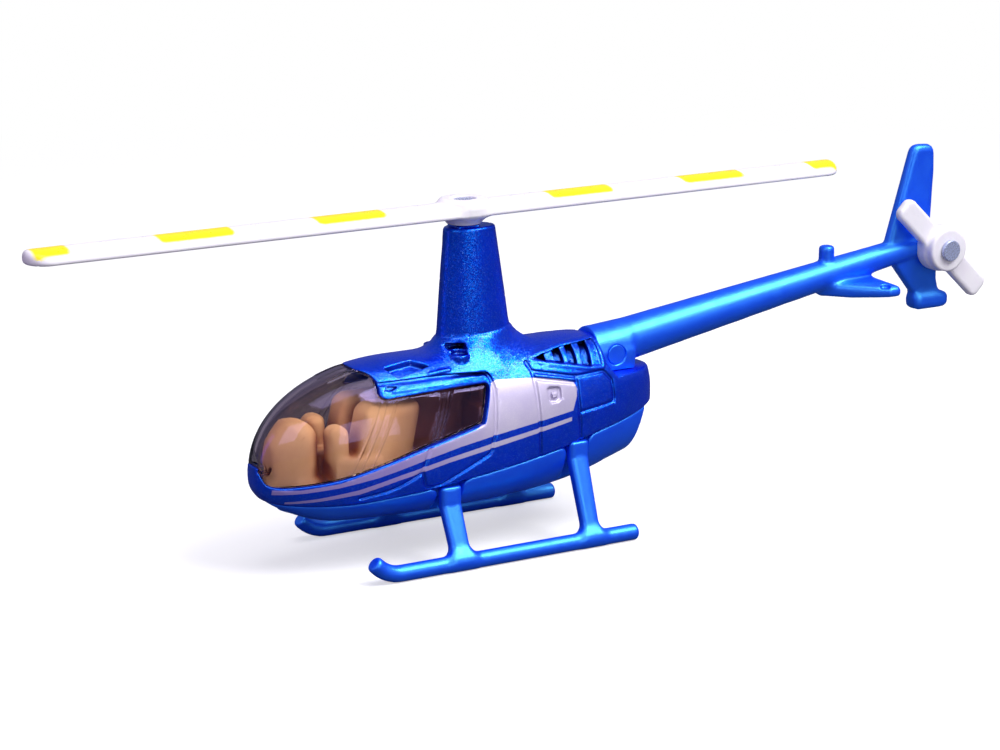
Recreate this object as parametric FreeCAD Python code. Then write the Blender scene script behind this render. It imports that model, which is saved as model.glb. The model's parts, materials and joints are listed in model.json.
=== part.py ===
import FreeCAD, Part
from FreeCAD import Vector
from math import cos, hypot, pi, radians, sin
import os

# A pocket-sized die-cast helicopter, millimetres. The nose points along -Y, the helicopter's left
# side is +X and Z is up. Everything is laid out around the mast: the main rotor turns about
# x = 0, y = 0, and z = 0 is the ground. The whole model is moved along Y only when it is saved, so
# that its bounding box is centred there.

# ---- fuselage skin ----
NOSE_Y = -25.9
TAIL_Y = 23.3
WIDEST_Y = -5.0
HALF_WIDTH = 7.35
ROOF_Z = 22.3
KEEL_Z = 5.0
NOSE_Z = 11.1
STERN_Z = 15.0
ROOF_FRONT_Y = -9.0
ROOF_REAR_Y = 9.0
KEEL_FRONT_Y = -9.0
KEEL_REAR_Y = -3.0
UPPER_POWER = 2.3
LOWER_POWER = 2.6
CAST_WALL = 0.9
PAN_WALL = 1.1
PAN_INSET = 0.12
GLASS_WALL = 1.5
GLASS_INSET = 0.08
WIDE = 30.0

# ---- mast and main rotor ----
MAST_FOOT_Z = 23.8
MAST_TOP_Z = 35.5
ROTOR_RADIUS = 50.0
ROTOR_REST_ANGLE = 91.6
HUB_FOOT_Z = 35.8
HUB_TOP_Z = 38.6
BLADE_FOOT_Z = 36.75
BLADE_THICKNESS = 1.5
BLADE_ROOT_CHORD = 5.3
BLADE_TIP_CHORD = 4.8
PIN_RADIUS = 0.7
PIN_HEAD_RADIUS = 1.1
RUNNING_FIT = 0.05

# ---- tail ----
BOOM_AXIS_Y = 23.9
BOOM_AXIS_Z = 21.0
BOOM_SLOPE = radians(9.1)
BOOM_RADIUS = 2.36
BOOM_TAPER = 0.0255
BOOM_START_Y = 14.6
BOOM_END_Y = 59.5
FIN_HALF = 0.75
TAIL_AXLE_Y = 63.5
TAIL_AXLE_Z = 26.9
TAIL_ROTOR_RADIUS = 8.2
TAIL_BLADE_HALF = 1.45
TAIL_REST_ANGLE = -43.5
TAIL_PIN_RADIUS = 0.6
TAIL_PIN_HEAD_RADIUS = 1.25
SHELF_Z = 17.7
BLOCK_HALF = 2.8
BLOCK_REAR_Y = 20.35
STUB_FOOT_Z = 22.45
STUB_THICKNESS = 1.7
BOOM_PIN_Y = 17.8
BOOM_PIN_Z = 19.55
BOOM_PIN_RADIUS = 1.1

# ---- landing gear ----
SKID_X = 9.2
SKID_RADIUS = 0.92
SKID_FLAT = 0.05
SKID_FRONT_Y = -12.8
SKID_REAR_Y = 16.5
FRONT_LEG_Y = -5.6
REAR_LEG_Y = 10.65
LEG_THICKNESS = 1.4

# ---- fastening ----
FRONT_RIVET_Y = -20.3
REAR_RIVET_Y = 6.5
RIVET_RADIUS = 0.8
RIVET_HEAD_RADIUS = 1.45


def round_end(distance, power):
    """Height of a superellipse of height 1 at a distance from 0 (middle) to 1 (tip)."""
    return (1.0 - min(abs(distance), 1.0) ** power) ** (1.0 / power)


def hull_station(y, inset):
    """Half width, middle height, top and bottom of the fuselage skin at y, moved inwards by inset."""
    nose = NOSE_Y + inset
    tail = TAIL_Y - inset
    if y < WIDEST_Y:
        half = (HALF_WIDTH - inset) * round_end((y - WIDEST_Y) / (nose - WIDEST_Y), 2.1)
    else:
        half = (HALF_WIDTH - inset) * round_end((y - WIDEST_Y) / (tail - WIDEST_Y), 2.4)
    along = min(max((y - WIDEST_Y) / (TAIL_Y - WIDEST_Y), 0.0), 1.0)
    middle = NOSE_Z + (STERN_Z - NOSE_Z) * along * along * (3.0 - 2.0 * along)
    top = ROOF_Z - inset
    if y < ROOF_FRONT_Y:
        top = NOSE_Z + (top - NOSE_Z) * round_end((y - ROOF_FRONT_Y) / (nose - ROOF_FRONT_Y), 2.1)
    elif y > ROOF_REAR_Y:
        top = STERN_Z + (top - STERN_Z) * round_end((y - ROOF_REAR_Y) / (tail - ROOF_REAR_Y), 2.6)
    bottom = KEEL_Z + inset
    if y < KEEL_FRONT_Y:
        bottom = NOSE_Z - (NOSE_Z - bottom) * round_end((y - KEEL_FRONT_Y) / (nose - KEEL_FRONT_Y), 2.3)
    elif y > KEEL_REAR_Y:
        bottom = STERN_Z - (STERN_Z - bottom) * round_end((y - KEEL_REAR_Y) / (tail - KEEL_REAR_Y), 2.6)
    return half, middle, top, bottom


def hull_wire(y, inset, around=24):
    """One closed cross-section of the skin: two half superellipses that meet at the widest height."""
    half, middle, top, bottom = hull_station(y, inset)
    points = []
    for step in range(around):
        angle = 2.0 * pi * step / around
        across, up = cos(angle), sin(angle)
        power = UPPER_POWER if up >= 0 else LOWER_POWER
        height = top - middle if up >= 0 else middle - bottom
        x = half * abs(across) ** (2.0 / power) * (1 if across >= 0 else -1)
        z = middle + height * abs(up) ** (2.0 / power) * (1 if up >= 0 else -1)
        points.append(Vector(x, y, z))
    curve = Part.BSplineCurve()
    curve.interpolate(points, PeriodicFlag=True)
    return Part.Wire([curve.toShape()])


def hull(inset=0.0):
    """The whole fuselage skin as one solid, lofted nose to tail, moved inwards by inset."""
    ends = (NOSE_Y + inset, TAIL_Y - inset)
    stations = [WIDEST_Y + (ends[0] - WIDEST_Y) * sin(radians(a)) for a in (87.5, 80, 70, 56, 38, 20)]
    stations += [WIDEST_Y + (ends[1] - WIDEST_Y) * sin(radians(a)) for a in (0, 20, 38, 54, 66, 76, 83, 87.5)]
    return Part.makeLoft([hull_wire(y, inset) for y in stations], True, False)


def side_prism(points, x_from=-WIDE, x_to=WIDE):
    """A solid whose outline in the YZ plane is the given points, reaching from x_from to x_to."""
    corners = [Vector(x_from, y, z) for y, z in points]
    face = Part.Face(Part.makePolygon(corners + corners[:1]))
    return face.extrude(Vector(x_to - x_from, 0, 0))


def side_spline(points, x_at=0.0):
    """A smooth curve through points given as (y, z)."""
    curve = Part.BSplineCurve()
    curve.interpolate([Vector(x_at, y, z) for y, z in points])
    return curve.toShape()


def box(x0, x1, y0, y1, z0, z1):
    return Part.makeBox(x1 - x0, y1 - y0, z1 - z0, Vector(x0, y0, z0))


def both_sides(solid):
    return [solid, solid.mirror(Vector(0, 0, 0), Vector(1, 0, 0))]


def rounded(solid, radius, keep=lambda edge: True):
    edges = [edge for edge in solid.Edges if keep(edge)]
    return solid.makeFillet(radius, edges)


def fuse(solids):
    whole = solids[0].fuse(solids[1:])
    return whole.removeSplitter()


def single(shape):
    """The biggest solid of a shape, so that a boolean never leaves crumbs behind."""
    return max(shape.Solids, key=lambda solid: solid.Volume)


# ---- outlines drawn on the side of the fuselage, as (y, z) ----
SEAM = [(-30, 8.6), (-24, 8.3), (-17, 8.1), (-11.6, 8.5), (-7, 8.9), (-3.4, 9.4), (1.6, 10.0),
        (8.5, 11.0), (12.3, 11.8), (20.5, 13.2), (30, 15.0)]
GLASS_SILL = [(-30, 10.9), (-25.2, 10.5), (-22.2, 10.5), (-18.2, 10.95), (-13.9, 12.0), (-8.2, 13.5),
              (-2.7, 14.75)]
GLASS_REAR = [(-1.9, 15.4), (-0.45, 18.75), (-0.8, 19.15)]
GLASS_HEAD = [(-3.6, 19.1), (-7.3, 19.0), (-10.8, 18.9), (-12.3, 18.85), (-12.85, 19.25), (-12.7, 20.2),
              (-12.8, 21.0), (-13.4, 21.8), (-14.2, 22.15), (-14.3, 26), (-30, 26)]
NOTCH = [(15.5, 22.8), (15.4, 19.3), (16.6, SHELF_Z), (90, SHELF_Z), (90, 90), (15.5, 90)]
LOUVRE_BAY = [(5.4, 21.0), (8.2, 21.45), (14.1, 21.6), (14.9, 19.3), (9.3, 19.85)]
ROOF_HATCH = [(2.65, -11.35), (2.15, -7.85), (3.35, -6.1), (4.1, -10.3)]


def below_seam():
    """Everything under the joint between the casting and the plastic belly."""
    edge = side_spline(SEAM)
    first, last = SEAM[0], SEAM[-1]
    corners = [Vector(0, *last), Vector(0, last[0], -10), Vector(0, first[0], -10), Vector(0, *first)]
    face = Part.Face(Part.Wire([edge] + Part.makePolygon(corners).Edges))
    solid = face.extrude(Vector(2 * WIDE, 0, 0))
    solid.translate(Vector(-WIDE, 0, 0))
    return solid


def glass_outline():
    """The window opening in side view: the sill is a smooth curve, sampled finely."""
    sill = side_spline(GLASS_SILL).discretize(16)
    return [(point.y, point.z) for point in sill] + GLASS_REAR + GLASS_HEAD


def grown(points, distance):
    """A closed outline moved outwards by distance, corner by corner (points run anticlockwise)."""
    result = []
    for before, here, after in zip(points[-1:] + points[:-1], points, points[1:] + points[:1]):
        d0 = (here[0] - before[0], here[1] - before[1])
        d1 = (after[0] - here[0], after[1] - here[1])
        n0 = (d0[1] / hypot(*d0), -d0[0] / hypot(*d0))
        n1 = (d1[1] / hypot(*d1), -d1[0] / hypot(*d1))
        scale = distance / (1.0 + n0[0] * n1[0] + n0[1] * n1[1])
        result.append((here[0] + scale * (n0[0] + n1[0]), here[1] + scale * (n0[1] + n1[1])))
    return result


def glass_prism(grow=0.0):
    """The window opening, from one side to the other, with its outline grown by grow."""
    return side_prism(grown(glass_outline(), grow))


def oval(centre_y, half_length, half_width, z):
    ellipse = Part.Ellipse(Vector(0, centre_y, z), half_length, half_width)
    edge = ellipse.toShape()
    edge.rotate(Vector(0, centre_y, z), Vector(0, 0, 1), 90)
    return Part.Wire([edge])


def mast():
    """The tapered rotor mast, its flared foot, the air inlets at the foot and the boss on top."""
    tower = Part.makeLoft([oval(1.03, 4.4, 2.6, MAST_FOOT_Z), oval(0.65, 3.0, 2.0, MAST_TOP_Z)], True, True)
    tower = rounded(tower, 0.3, lambda edge: edge.BoundBox.ZMin > MAST_TOP_Z - 0.1)
    foot = Part.makeLoft([oval(1.3, 5.9, 4.1, 20.6), oval(1.03, 4.45, 2.65, MAST_FOOT_Z)], True, True)
    boss = Part.makeCylinder(1.3, 0.7, Vector(0, 0, HUB_FOOT_Z - 0.8))
    bowl = Part.makeSphere(1.25, Vector(2.95, -2.3, 22.1)).cut(box(-1, 9, -9, 9, 22.3, 30))
    solid = fuse([tower, foot, boss] + both_sides(bowl))
    for slot in both_sides(box(1.3, 6.0, -3.5, -1.1, 22.45, 23.15)):
        solid = solid.cut(slot)
    return solid


def louvres(pocket):
    """Slanted slats that stand in the louvre bay of the cowl."""
    slats = []
    for y in (7.6, 8.9, 10.4, 11.9, 13.3):
        slats.append(side_prism([(y, 22.4), (y + 0.42, 22.4), (y + 1.25, 18.4), (y + 0.83, 18.4)], 2.4, 12))
    return [slat.common(pocket) for slat in slats]


def body_shell():
    """The painted zinc casting: cabin frame, roof, mast, cowl and the posts for the rivets."""
    skin = hull()
    solid = fuse([skin, mast()])
    rear_wall = box(-WIDE, WIDE, 12.6, WIDE, -WIDE, WIDE)
    solid = solid.cut(hull(CAST_WALL).cut(rear_wall))
    column = Part.makeCylinder(1.8, 15.0, Vector(0, REAR_RIVET_Y, post_foot_z(REAR_RIVET_Y)))
    bridge = hull(CAST_WALL - 0.1).common(box(-WIDE, WIDE, FRONT_RIVET_Y - 1.8, FRONT_RIVET_Y + 1.8, 8.5, 9.2))
    front_post = Part.makeCylinder(1.5, 1.5, Vector(0, FRONT_RIVET_Y, post_foot_z(FRONT_RIVET_Y)))
    solid = single(solid.cut(below_seam()).cut(glass_prism()))
    solid = single(solid.cut(side_prism(NOTCH)))
    solid = fuse([solid, column, bridge, front_post])
    solid = solid.fuse(box(-0.7, 0.7, 16.8, 18.95, SHELF_Z - 1, 21.0)).removeSplitter()
    deep = skin.cut(hull(0.6))
    slat_layer = hull(0.12).cut(hull(0.65))
    bay = side_prism(LOUVRE_BAY, 1.9, 12)
    hatch = Part.Face(Part.makePolygon([Vector(x, y, 15) for x, y in ROOF_HATCH + ROOF_HATCH[:1]]))
    hatch = hatch.extrude(Vector(0, 0, 12))
    for recess in both_sides(bay.common(deep)) + both_sides(hatch.common(deep)):
        solid = solid.cut(recess)
    for slat in louvres(bay.common(slat_layer)):
        solid = solid.fuse(both_sides(slat))
    for grip in both_sides(Part.makeCylinder(0.22, 2.2, Vector(4.15, -6.4, 20.72), Vector(0, 1, 0.07))):
        solid = solid.fuse(grip)
    for y in (FRONT_RIVET_Y, REAR_RIVET_Y):
        reach = 1.9 if y == FRONT_RIVET_Y else 4.6
        solid = solid.cut(Part.makeCylinder(RIVET_RADIUS, reach, Vector(0, y, rivet_seat_z(y))))
    solid = solid.cut(Part.makeCylinder(PIN_RADIUS, 10.0, Vector(0, 0, MAST_TOP_Z - 7.0)))
    solid = solid.cut(Part.makeCylinder(BOOM_PIN_RADIUS, 4, Vector(-2, BOOM_PIN_Y, BOOM_PIN_Z), Vector(1, 0, 0)))
    solid = solid.cut(box(-1.5, 1.5, 11.9, 16.5, 18.6, 20.6))
    return single(solid.removeSplitter())


def canopy():
    """The clear windscreen and side windows, one moulding, with a flange behind the frame."""
    window = hull(GLASS_INSET).cut(hull(GLASS_WALL)).common(glass_prism(-0.04))
    flange = hull(CAST_WALL + 0.05).cut(hull(GLASS_WALL)).common(glass_prism(0.9))
    return single(fuse([window, flange]))


def soft_block(x0, x1, y0, y1, z0, z1, radius):
    return rounded(box(x0, x1, y0, y1, z0, z1), radius)


def interior():
    """The cabin tub: floor, instrument stand, two front seats, rear bench and bulkhead."""
    room = hull(GLASS_WALL + 0.15).common(box(-WIDE, WIDE, -23.4, 1.4, 9.5, 20.2))
    pieces = [box(-WIDE, WIDE, -30, 2.0, 9.5, 10.3), box(-2.5, 2.5, -22.6, -19.2, 10, 16.4)]
    for middle in (-3.3, 3.3):
        pieces.append(box(middle - 2.5, middle + 2.5, -16.6, -10.4, 10, 12.4))
        pieces.append(box(middle - 2.4, middle + 2.4, -12.6, -10.4, 12, 16.9))
        pieces.append(box(middle - 1.4, middle + 1.4, -12.2, -10.8, 16, 18.6))
    pieces.append(box(-WIDE, WIDE, -7.0, 0.4, 10, 12.8))
    pieces.append(box(-WIDE, WIDE, -2.4, 0.4, 12, 17.6))
    pieces.append(box(-WIDE, WIDE, 0.2, 2.0, 9.5, 20.2))
    return single(fuse(pieces).common(room))


def belly_pan():
    """The plastic belly: a tray under the seam with side slots for the legs and rivet seats."""
    tray = single(hull(PAN_INSET).common(below_seam()).cut(hull(PAN_INSET + PAN_WALL)))
    cuts = []
    for y, post in ((FRONT_RIVET_Y, 1.5), (REAR_RIVET_Y, 1.8)):
        seat, top = rivet_seat_z(y), post_foot_z(y)
        tray = tray.fuse(Part.makeCylinder(post + 0.7, top + 0.5 - seat, Vector(0, y, seat)))
        cuts.append(Part.makeCylinder(RIVET_RADIUS, 9, Vector(0, y, 0)))
        cuts.append(Part.makeCylinder(RIVET_HEAD_RADIUS + 0.05, 9, Vector(0, y, seat - 9)))
        cuts.append(Part.makeCylinder(post + 0.05, 9, Vector(0, y, top)))
    for leg_y, beam_z in ((FRONT_LEG_Y, 7.2), (REAR_LEG_Y, 9.3)):
        cuts += both_sides(box(5.0, 12.0, leg_y - 1.5, leg_y + 1.5, -1, 14))
        cuts.append(box(-12, 12, leg_y - 1.5, leg_y + 1.5, beam_z - 0.05, 14))
    return single(tray.cut(cuts).removeSplitter())


def post_foot_z(y):
    """Height of the foot of the casting's post at a rivet, where it stands on the belly pan."""
    return rivet_seat_z(y) + 0.55


def rivet_seat_z(y):
    """Height of the counterbored floor that a rivet head sits against."""
    return 6.95 if y == FRONT_RIVET_Y else 5.95


def belly_rivets():
    """Two steel rivets that pull the belly pan up against the casting's posts."""
    rivets = []
    for y, reach in ((FRONT_RIVET_Y, 1.9), (REAR_RIVET_Y, 4.6)):
        seat = rivet_seat_z(y)
        head = Part.makeCylinder(RIVET_HEAD_RADIUS, 0.45, Vector(0, y, seat - 0.45))
        head = rounded(head, 0.2, lambda edge: edge.BoundBox.ZMax < seat - 0.4)
        rivets.append(fuse([head, Part.makeCylinder(RIVET_RADIUS, reach, Vector(0, y, seat))]))
    return Part.makeCompound(rivets)


def skid_tube(side):
    """One skid: a straight tube with a turned-up, rounded front end and a flat underside."""
    x = side * SKID_X
    z = SKID_RADIUS - SKID_FLAT
    bend = 4.0
    turn = radians(44)
    start = Vector(x, SKID_FRONT_Y, z)
    arc_end = Vector(x, SKID_FRONT_Y - bend * sin(turn), z + bend * (1 - cos(turn)))
    arc_mid = Vector(x, SKID_FRONT_Y - bend * sin(turn / 2), z + bend * (1 - cos(turn / 2)))
    tip = arc_end + Vector(0, -cos(turn), sin(turn)) * 0.3
    path = Part.Wire([Part.makeLine(Vector(x, SKID_REAR_Y, z), start), Part.Arc(start, arc_mid, arc_end).toShape(),
                      Part.makeLine(arc_end, tip)])
    profile = Part.Wire([Part.makeCircle(SKID_RADIUS, Vector(x, SKID_REAR_Y, z), Vector(0, 1, 0))])
    tube = path.makePipeShell([profile], True, False)
    solid = fuse([tube, Part.makeSphere(SKID_RADIUS, tip)])
    solid = rounded(solid, 0.4, lambda edge: edge.BoundBox.YMin > SKID_REAR_Y - 0.01)
    return solid.cut(box(-20, 20, -40, 40, -5, 0))


def leg(side, y, shoulder, bend, foot_width, top_width):
    """One leg: it drops beside the belly, then splays out to its skid. Heights are (x, z) of its outer face."""
    def level(x_outer, z, width):
        corners = [Vector(side * (x_outer - LEG_THICKNESS), y - width / 2, z), Vector(side * x_outer, y - width / 2, z),
                   Vector(side * x_outer, y + width / 2, z), Vector(side * (x_outer - LEG_THICKNESS), y + width / 2, z)]
        return Part.makePolygon(corners + corners[:1])
    upper = Part.makeLoft([level(shoulder[0], shoulder[1], top_width), level(bend[0], bend[1], top_width)], True, True)
    lower = Part.makeLoft([level(bend[0], bend[1], top_width), level(SKID_X + 0.62, 0.8, foot_width)], True, True)
    return fuse([upper, lower])


def skid_gear():
    """Both skids, the four legs and the two beams that cross inside the belly."""
    pieces = []
    for side in (-1, 1):
        pieces.append(skid_tube(side))
        pieces.append(leg(side, FRONT_LEG_Y, (7.3, 8.75), (7.3, 6.6), 2.2, 2.55))
        pieces.append(leg(side, REAR_LEG_Y, (6.75, 11.1), (6.75, 9.5), 2.3, 2.45))
        for y, width in ((FRONT_LEG_Y, 2.2), (REAR_LEG_Y, 2.3)):
            flare = Part.makeLoft([pad(side * SKID_X, y, width + 2.0, 0.9), pad(side * (SKID_X - 0.1), y, width, 2.3)],
                                  True, True)
            pieces.append(flare)
    pieces.append(box(-6.2, 6.2, FRONT_LEG_Y - 1.1, FRONT_LEG_Y + 1.1, 7.2, 8.75))
    pieces.append(box(-5.8, 5.8, REAR_LEG_Y - 1.1, REAR_LEG_Y + 1.1, 9.3, 10.8))
    return single(fuse(pieces).cut(box(-20, 20, -40, 40, -5, 0)))


def pad(x, y, length, z):
    corners = [Vector(x - 0.55, y - length / 2, z), Vector(x + 0.55, y - length / 2, z),
               Vector(x + 0.55, y + length / 2, z), Vector(x - 0.55, y + length / 2, z)]
    return Part.makePolygon(corners + corners[:1])


def boom_point(y):
    return Vector(0, y, BOOM_AXIS_Z + (y - BOOM_AXIS_Y) * sin(BOOM_SLOPE) / cos(BOOM_SLOPE))


def boom_radius(y):
    return BOOM_RADIUS - BOOM_TAPER * (y - BOOM_AXIS_Y)


def fin(points, radius):
    """A flat fin: its outline in side view, rounded corners, rounded edges."""
    corners = [Vector(-FIN_HALF, y, z) for y, z in points]
    plate = Part.Face(Part.makePolygon(corners + corners[:1])).extrude(Vector(2 * FIN_HALF, 0, 0))
    plate = rounded(plate, radius, lambda edge: edge.BoundBox.XLength > 1)
    return rounded(plate, 0.45, lambda edge: edge.BoundBox.XLength < 0.01)


def tail_boom():
    """The plastic tail: root block, tapered boom, fins, aerial peg and the left stabiliser stub."""
    axis = Vector(0, cos(BOOM_SLOPE), sin(BOOM_SLOPE))
    start, end = boom_point(BOOM_START_Y - 3), boom_point(BOOM_END_Y)
    length = (end - start).Length
    tube = Part.makeCone(boom_radius(start.y), boom_radius(end.y), length, start, axis)
    tip = Part.makeSphere(boom_radius(end.y), end)
    block = box(-BLOCK_HALF, BLOCK_HALF, 12, BLOCK_REAR_Y, SHELF_Z + 0.03, 19.9)
    block = rounded(block, 0.5, lambda edge: edge.BoundBox.YMin > BLOCK_REAR_Y - 0.1)
    crown = Part.makeCylinder(2.72, 8.8, Vector(0, 12.4, 19.55), Vector(0, 1, 0.03))
    crown = crown.common(box(-BLOCK_HALF, BLOCK_HALF, 12, BLOCK_REAR_Y - 0.15, 18.5, 30))
    notch = side_prism([(y + 0.04, z) for y, z in NOTCH])
    root = fuse([block, crown]).common(notch)
    solid = fuse([tube.common(notch), tip, root])
    upper = fin([(56.0, 25.5), (60.3, 39.2), (63.45, 39.25), (63.65, 36.0), (63.2, 27.0)], 1.0)
    lower = fin([(57.2, 26.5), (58.4, 25.0), (60.8, 21.4), (61.2, 19.8), (65.0, 19.8), (64.4, 22.8), (64.1, 27.4)], 0.4)
    foot = soft_block(-1.35, 1.35, 60.95, 66.2, 19.2, 21.1, 0.85)
    boss = Part.makeCylinder(1.75, 1.9, Vector(-0.9, TAIL_AXLE_Y, TAIL_AXLE_Z), Vector(1, 0, 0))
    peg = rounded(Part.makeCylinder(0.9, 3.85, Vector(0, 48.4, 24.5)), 0.4, lambda edge: edge.BoundBox.ZMin > 28.2)
    stub_corners = [Vector(x, y, STUB_FOOT_Z) for x, y in ((0, 47.0), (1.5, 48.2), (5.8, 51.9), (7.0, 53.1), (6.8, 54.6),
                                                      (0, 55.2))]
    stub = Part.Face(Part.makePolygon(stub_corners + stub_corners[:1])).extrude(Vector(0, 0, STUB_THICKNESS))
    stub = rounded(stub, 0.7, lambda edge: edge.BoundBox.ZLength > 1 and edge.BoundBox.XMin > 1)
    stub = rounded(stub, 0.5, lambda edge: edge.BoundBox.ZLength < 0.01 and edge.BoundBox.XMax > 0.1)
    stub = stub.cut(Part.makeCylinder(0.75, 1, Vector(5.0, 52.7, STUB_FOOT_Z + STUB_THICKNESS - 0.15)))
    solid = fuse([solid, upper, lower, foot, boss, peg, stub])
    solid = solid.cut(Part.makeCylinder(TAIL_PIN_RADIUS, 20, Vector(-0.5, TAIL_AXLE_Y, TAIL_AXLE_Z), Vector(1, 0, 0)))
    solid = solid.cut(box(-0.75, 0.75, 16.3, 19.0, SHELF_Z - 1, 21.05))
    solid = solid.cut(Part.makeCylinder(BOOM_PIN_RADIUS, 20, Vector(-10, BOOM_PIN_Y, BOOM_PIN_Z), Vector(1, 0, 0)))
    tenon = box(-1.5, 1.5, 11.9, 16.6, 18.6, 20.6)
    return single(solid.fuse(tenon).removeSplitter())


def boom_pin():
    """The plastic cross pin that locks the boom's root block to the casting's tongue."""
    pin = Part.makeCylinder(BOOM_PIN_RADIUS, 2 * BLOCK_HALF, Vector(-BLOCK_HALF, BOOM_PIN_Y, BOOM_PIN_Z),
                            Vector(1, 0, 0))
    return rounded(pin, 0.1, lambda edge: edge.BoundBox.XLength < 0.01)


def blade_section(radius, chord):
    """Cross-section of a blade at a radius: flat underside, cambered top, upright edges."""
    left, right = Vector(-chord / 2, -radius, BLADE_FOOT_Z), Vector(chord / 2, -radius, BLADE_FOOT_Z)
    lip = Vector(0, 0, 0.5)
    top = Vector(-0.1 * chord, -radius, BLADE_FOOT_Z + BLADE_THICKNESS)
    arc = Part.Arc(right + lip, top, left + lip).toShape()
    return Part.Wire([Part.makeLine(left, right), Part.makeLine(right, right + lip), arc, Part.makeLine(left + lip, left)])


def main_rotor():
    """Two blades and their hub, one white moulding, bored to run on the mast pin."""
    blade = Part.makeLoft([blade_section(0.5, BLADE_ROOT_CHORD), blade_section(ROTOR_RADIUS, BLADE_TIP_CHORD)],
                          True, True)
    reach = ROTOR_RADIUS - BLADE_TIP_CHORD / 2
    planform = fuse([box(-4, 4, -reach, 0, 30, 45), Part.makeCylinder(BLADE_TIP_CHORD / 2, 15, Vector(0, -reach, 30))])
    blade = blade.common(planform)
    other = blade.copy()
    other.rotate(Vector(0, 0, 0), Vector(0, 0, 1), 180)
    low, high = BLADE_FOOT_Z, BLADE_FOOT_Z + BLADE_THICKNESS
    rim = [Part.makeLine(Vector(0, 0, HUB_FOOT_Z), Vector(2.0, 0, HUB_FOOT_Z)),
           Part.Arc(Vector(2.0, 0, HUB_FOOT_Z), Vector(2.6, 0, low - 0.25), Vector(4.6, 0, low + 0.1)).toShape(),
           Part.makeLine(Vector(4.6, 0, low + 0.1), Vector(4.6, 0, high - 0.2)),
           Part.Arc(Vector(4.6, 0, high - 0.2), Vector(3.1, 0, high + 0.1), Vector(1.9, 0, HUB_TOP_Z)).toShape(),
           Part.makeLine(Vector(1.9, 0, HUB_TOP_Z), Vector(0, 0, HUB_TOP_Z)),
           Part.makeLine(Vector(0, 0, HUB_TOP_Z), Vector(0, 0, HUB_FOOT_Z))]
    hub = Part.Face(Part.Wire(rim)).revolve(Vector(0, 0, 0), Vector(0, 0, 1), 360)
    hub = hub.common(rounded(box(-2.62, 2.62, -6, 6, 30, 40), 1.0, lambda edge: edge.BoundBox.YLength > 5))
    solid = fuse([blade, other, Part.makeSolid(hub) if hub.ShapeType == "Shell" else hub])
    solid = solid.cut(Part.makeCylinder(PIN_RADIUS + RUNNING_FIT, 20, Vector(0, 0, 30)))
    solid = solid.cut(Part.makeCylinder(PIN_HEAD_RADIUS + 0.1, 5, Vector(0, 0, HUB_TOP_Z - 0.7)))
    solid.rotate(Vector(0, 0, 0), Vector(0, 0, 1), ROTOR_REST_ANGLE - 90)
    return single(solid.removeSplitter())


def rotor_pin():
    """The steel pin pressed into the mast; the rotor turns under its head."""
    head = Part.makeCylinder(PIN_HEAD_RADIUS, 0.5, Vector(0, 0, HUB_TOP_Z - 0.65))
    head = rounded(head, 0.15, lambda edge: edge.BoundBox.ZMin > HUB_TOP_Z - 0.2)
    shank = Part.makeCylinder(PIN_RADIUS, HUB_TOP_Z - 0.65 - (MAST_TOP_Z - 7.0), Vector(0, 0, MAST_TOP_Z - 7.0))
    return fuse([head, shank])


def tail_rotor():
    """Two short blades and a deep hub, one white moulding, on the left of the fin."""
    rim = [Vector(1.1, 0, 0), Vector(1.1, 2.45, 0), Vector(1.35, 2.65, 0), Vector(2.7, 2.65, 0), Vector(3.4, 2.45, 0),
           Vector(4.05, 1.95, 0), Vector(4.05, 0, 0)]
    hub = Part.Face(Part.makePolygon(rim + rim[:1])).revolve(Vector(0, 0, 0), Vector(1, 0, 0), 360)
    reach = TAIL_ROTOR_RADIUS - TAIL_BLADE_HALF
    bar = box(1.65, 2.9, 0, reach, -TAIL_BLADE_HALF, TAIL_BLADE_HALF)
    bar = fuse([bar, Part.makeCylinder(TAIL_BLADE_HALF, 1.25, Vector(1.65, reach, 0), Vector(1, 0, 0))])
    bar = rounded(bar, 0.5, lambda edge: edge.BoundBox.XLength < 0.01 and edge.BoundBox.YMax > 0.1)
    other = bar.copy()
    other.rotate(Vector(0, 0, 0), Vector(1, 0, 0), 180)
    solid = fuse([hub, bar, other])
    solid = solid.cut(Part.makeCylinder(TAIL_PIN_RADIUS + RUNNING_FIT, 20, Vector(-5, 0, 0), Vector(1, 0, 0)))
    solid.rotate(Vector(0, 0, 0), Vector(1, 0, 0), TAIL_REST_ANGLE)
    solid.translate(Vector(0, TAIL_AXLE_Y, TAIL_AXLE_Z))
    return single(solid)


def tail_pin():
    """The steel pin pressed into the fin's boss; the tail rotor turns behind its head."""
    centre = Vector(0, TAIL_AXLE_Y, TAIL_AXLE_Z)
    shank = Part.makeCylinder(TAIL_PIN_RADIUS, 4.6, centre + Vector(-0.5, 0, 0), Vector(1, 0, 0))
    head = Part.makeCylinder(TAIL_PIN_HEAD_RADIUS, 0.4, centre + Vector(4.1, 0, 0), Vector(1, 0, 0))
    head = rounded(head, 0.12, lambda edge: edge.BoundBox.XMin > 4.4)
    return fuse([head, shank])


def build():
    """All sub-parts by node name, laid out around the mast."""
    return {
        "body_shell": body_shell(),
        "canopy": canopy(),
        "cabin_interior": interior(),
        "belly_pan": belly_pan(),
        "belly_rivets": belly_rivets(),
        "skid_gear": skid_gear(),
        "tail_boom": tail_boom(),
        "boom_pin": boom_pin(),
        "main_rotor": main_rotor(),
        "rotor_pin": rotor_pin(),
        "tail_rotor": tail_rotor(),
        "tail_pin": tail_pin(),
    }


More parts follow.
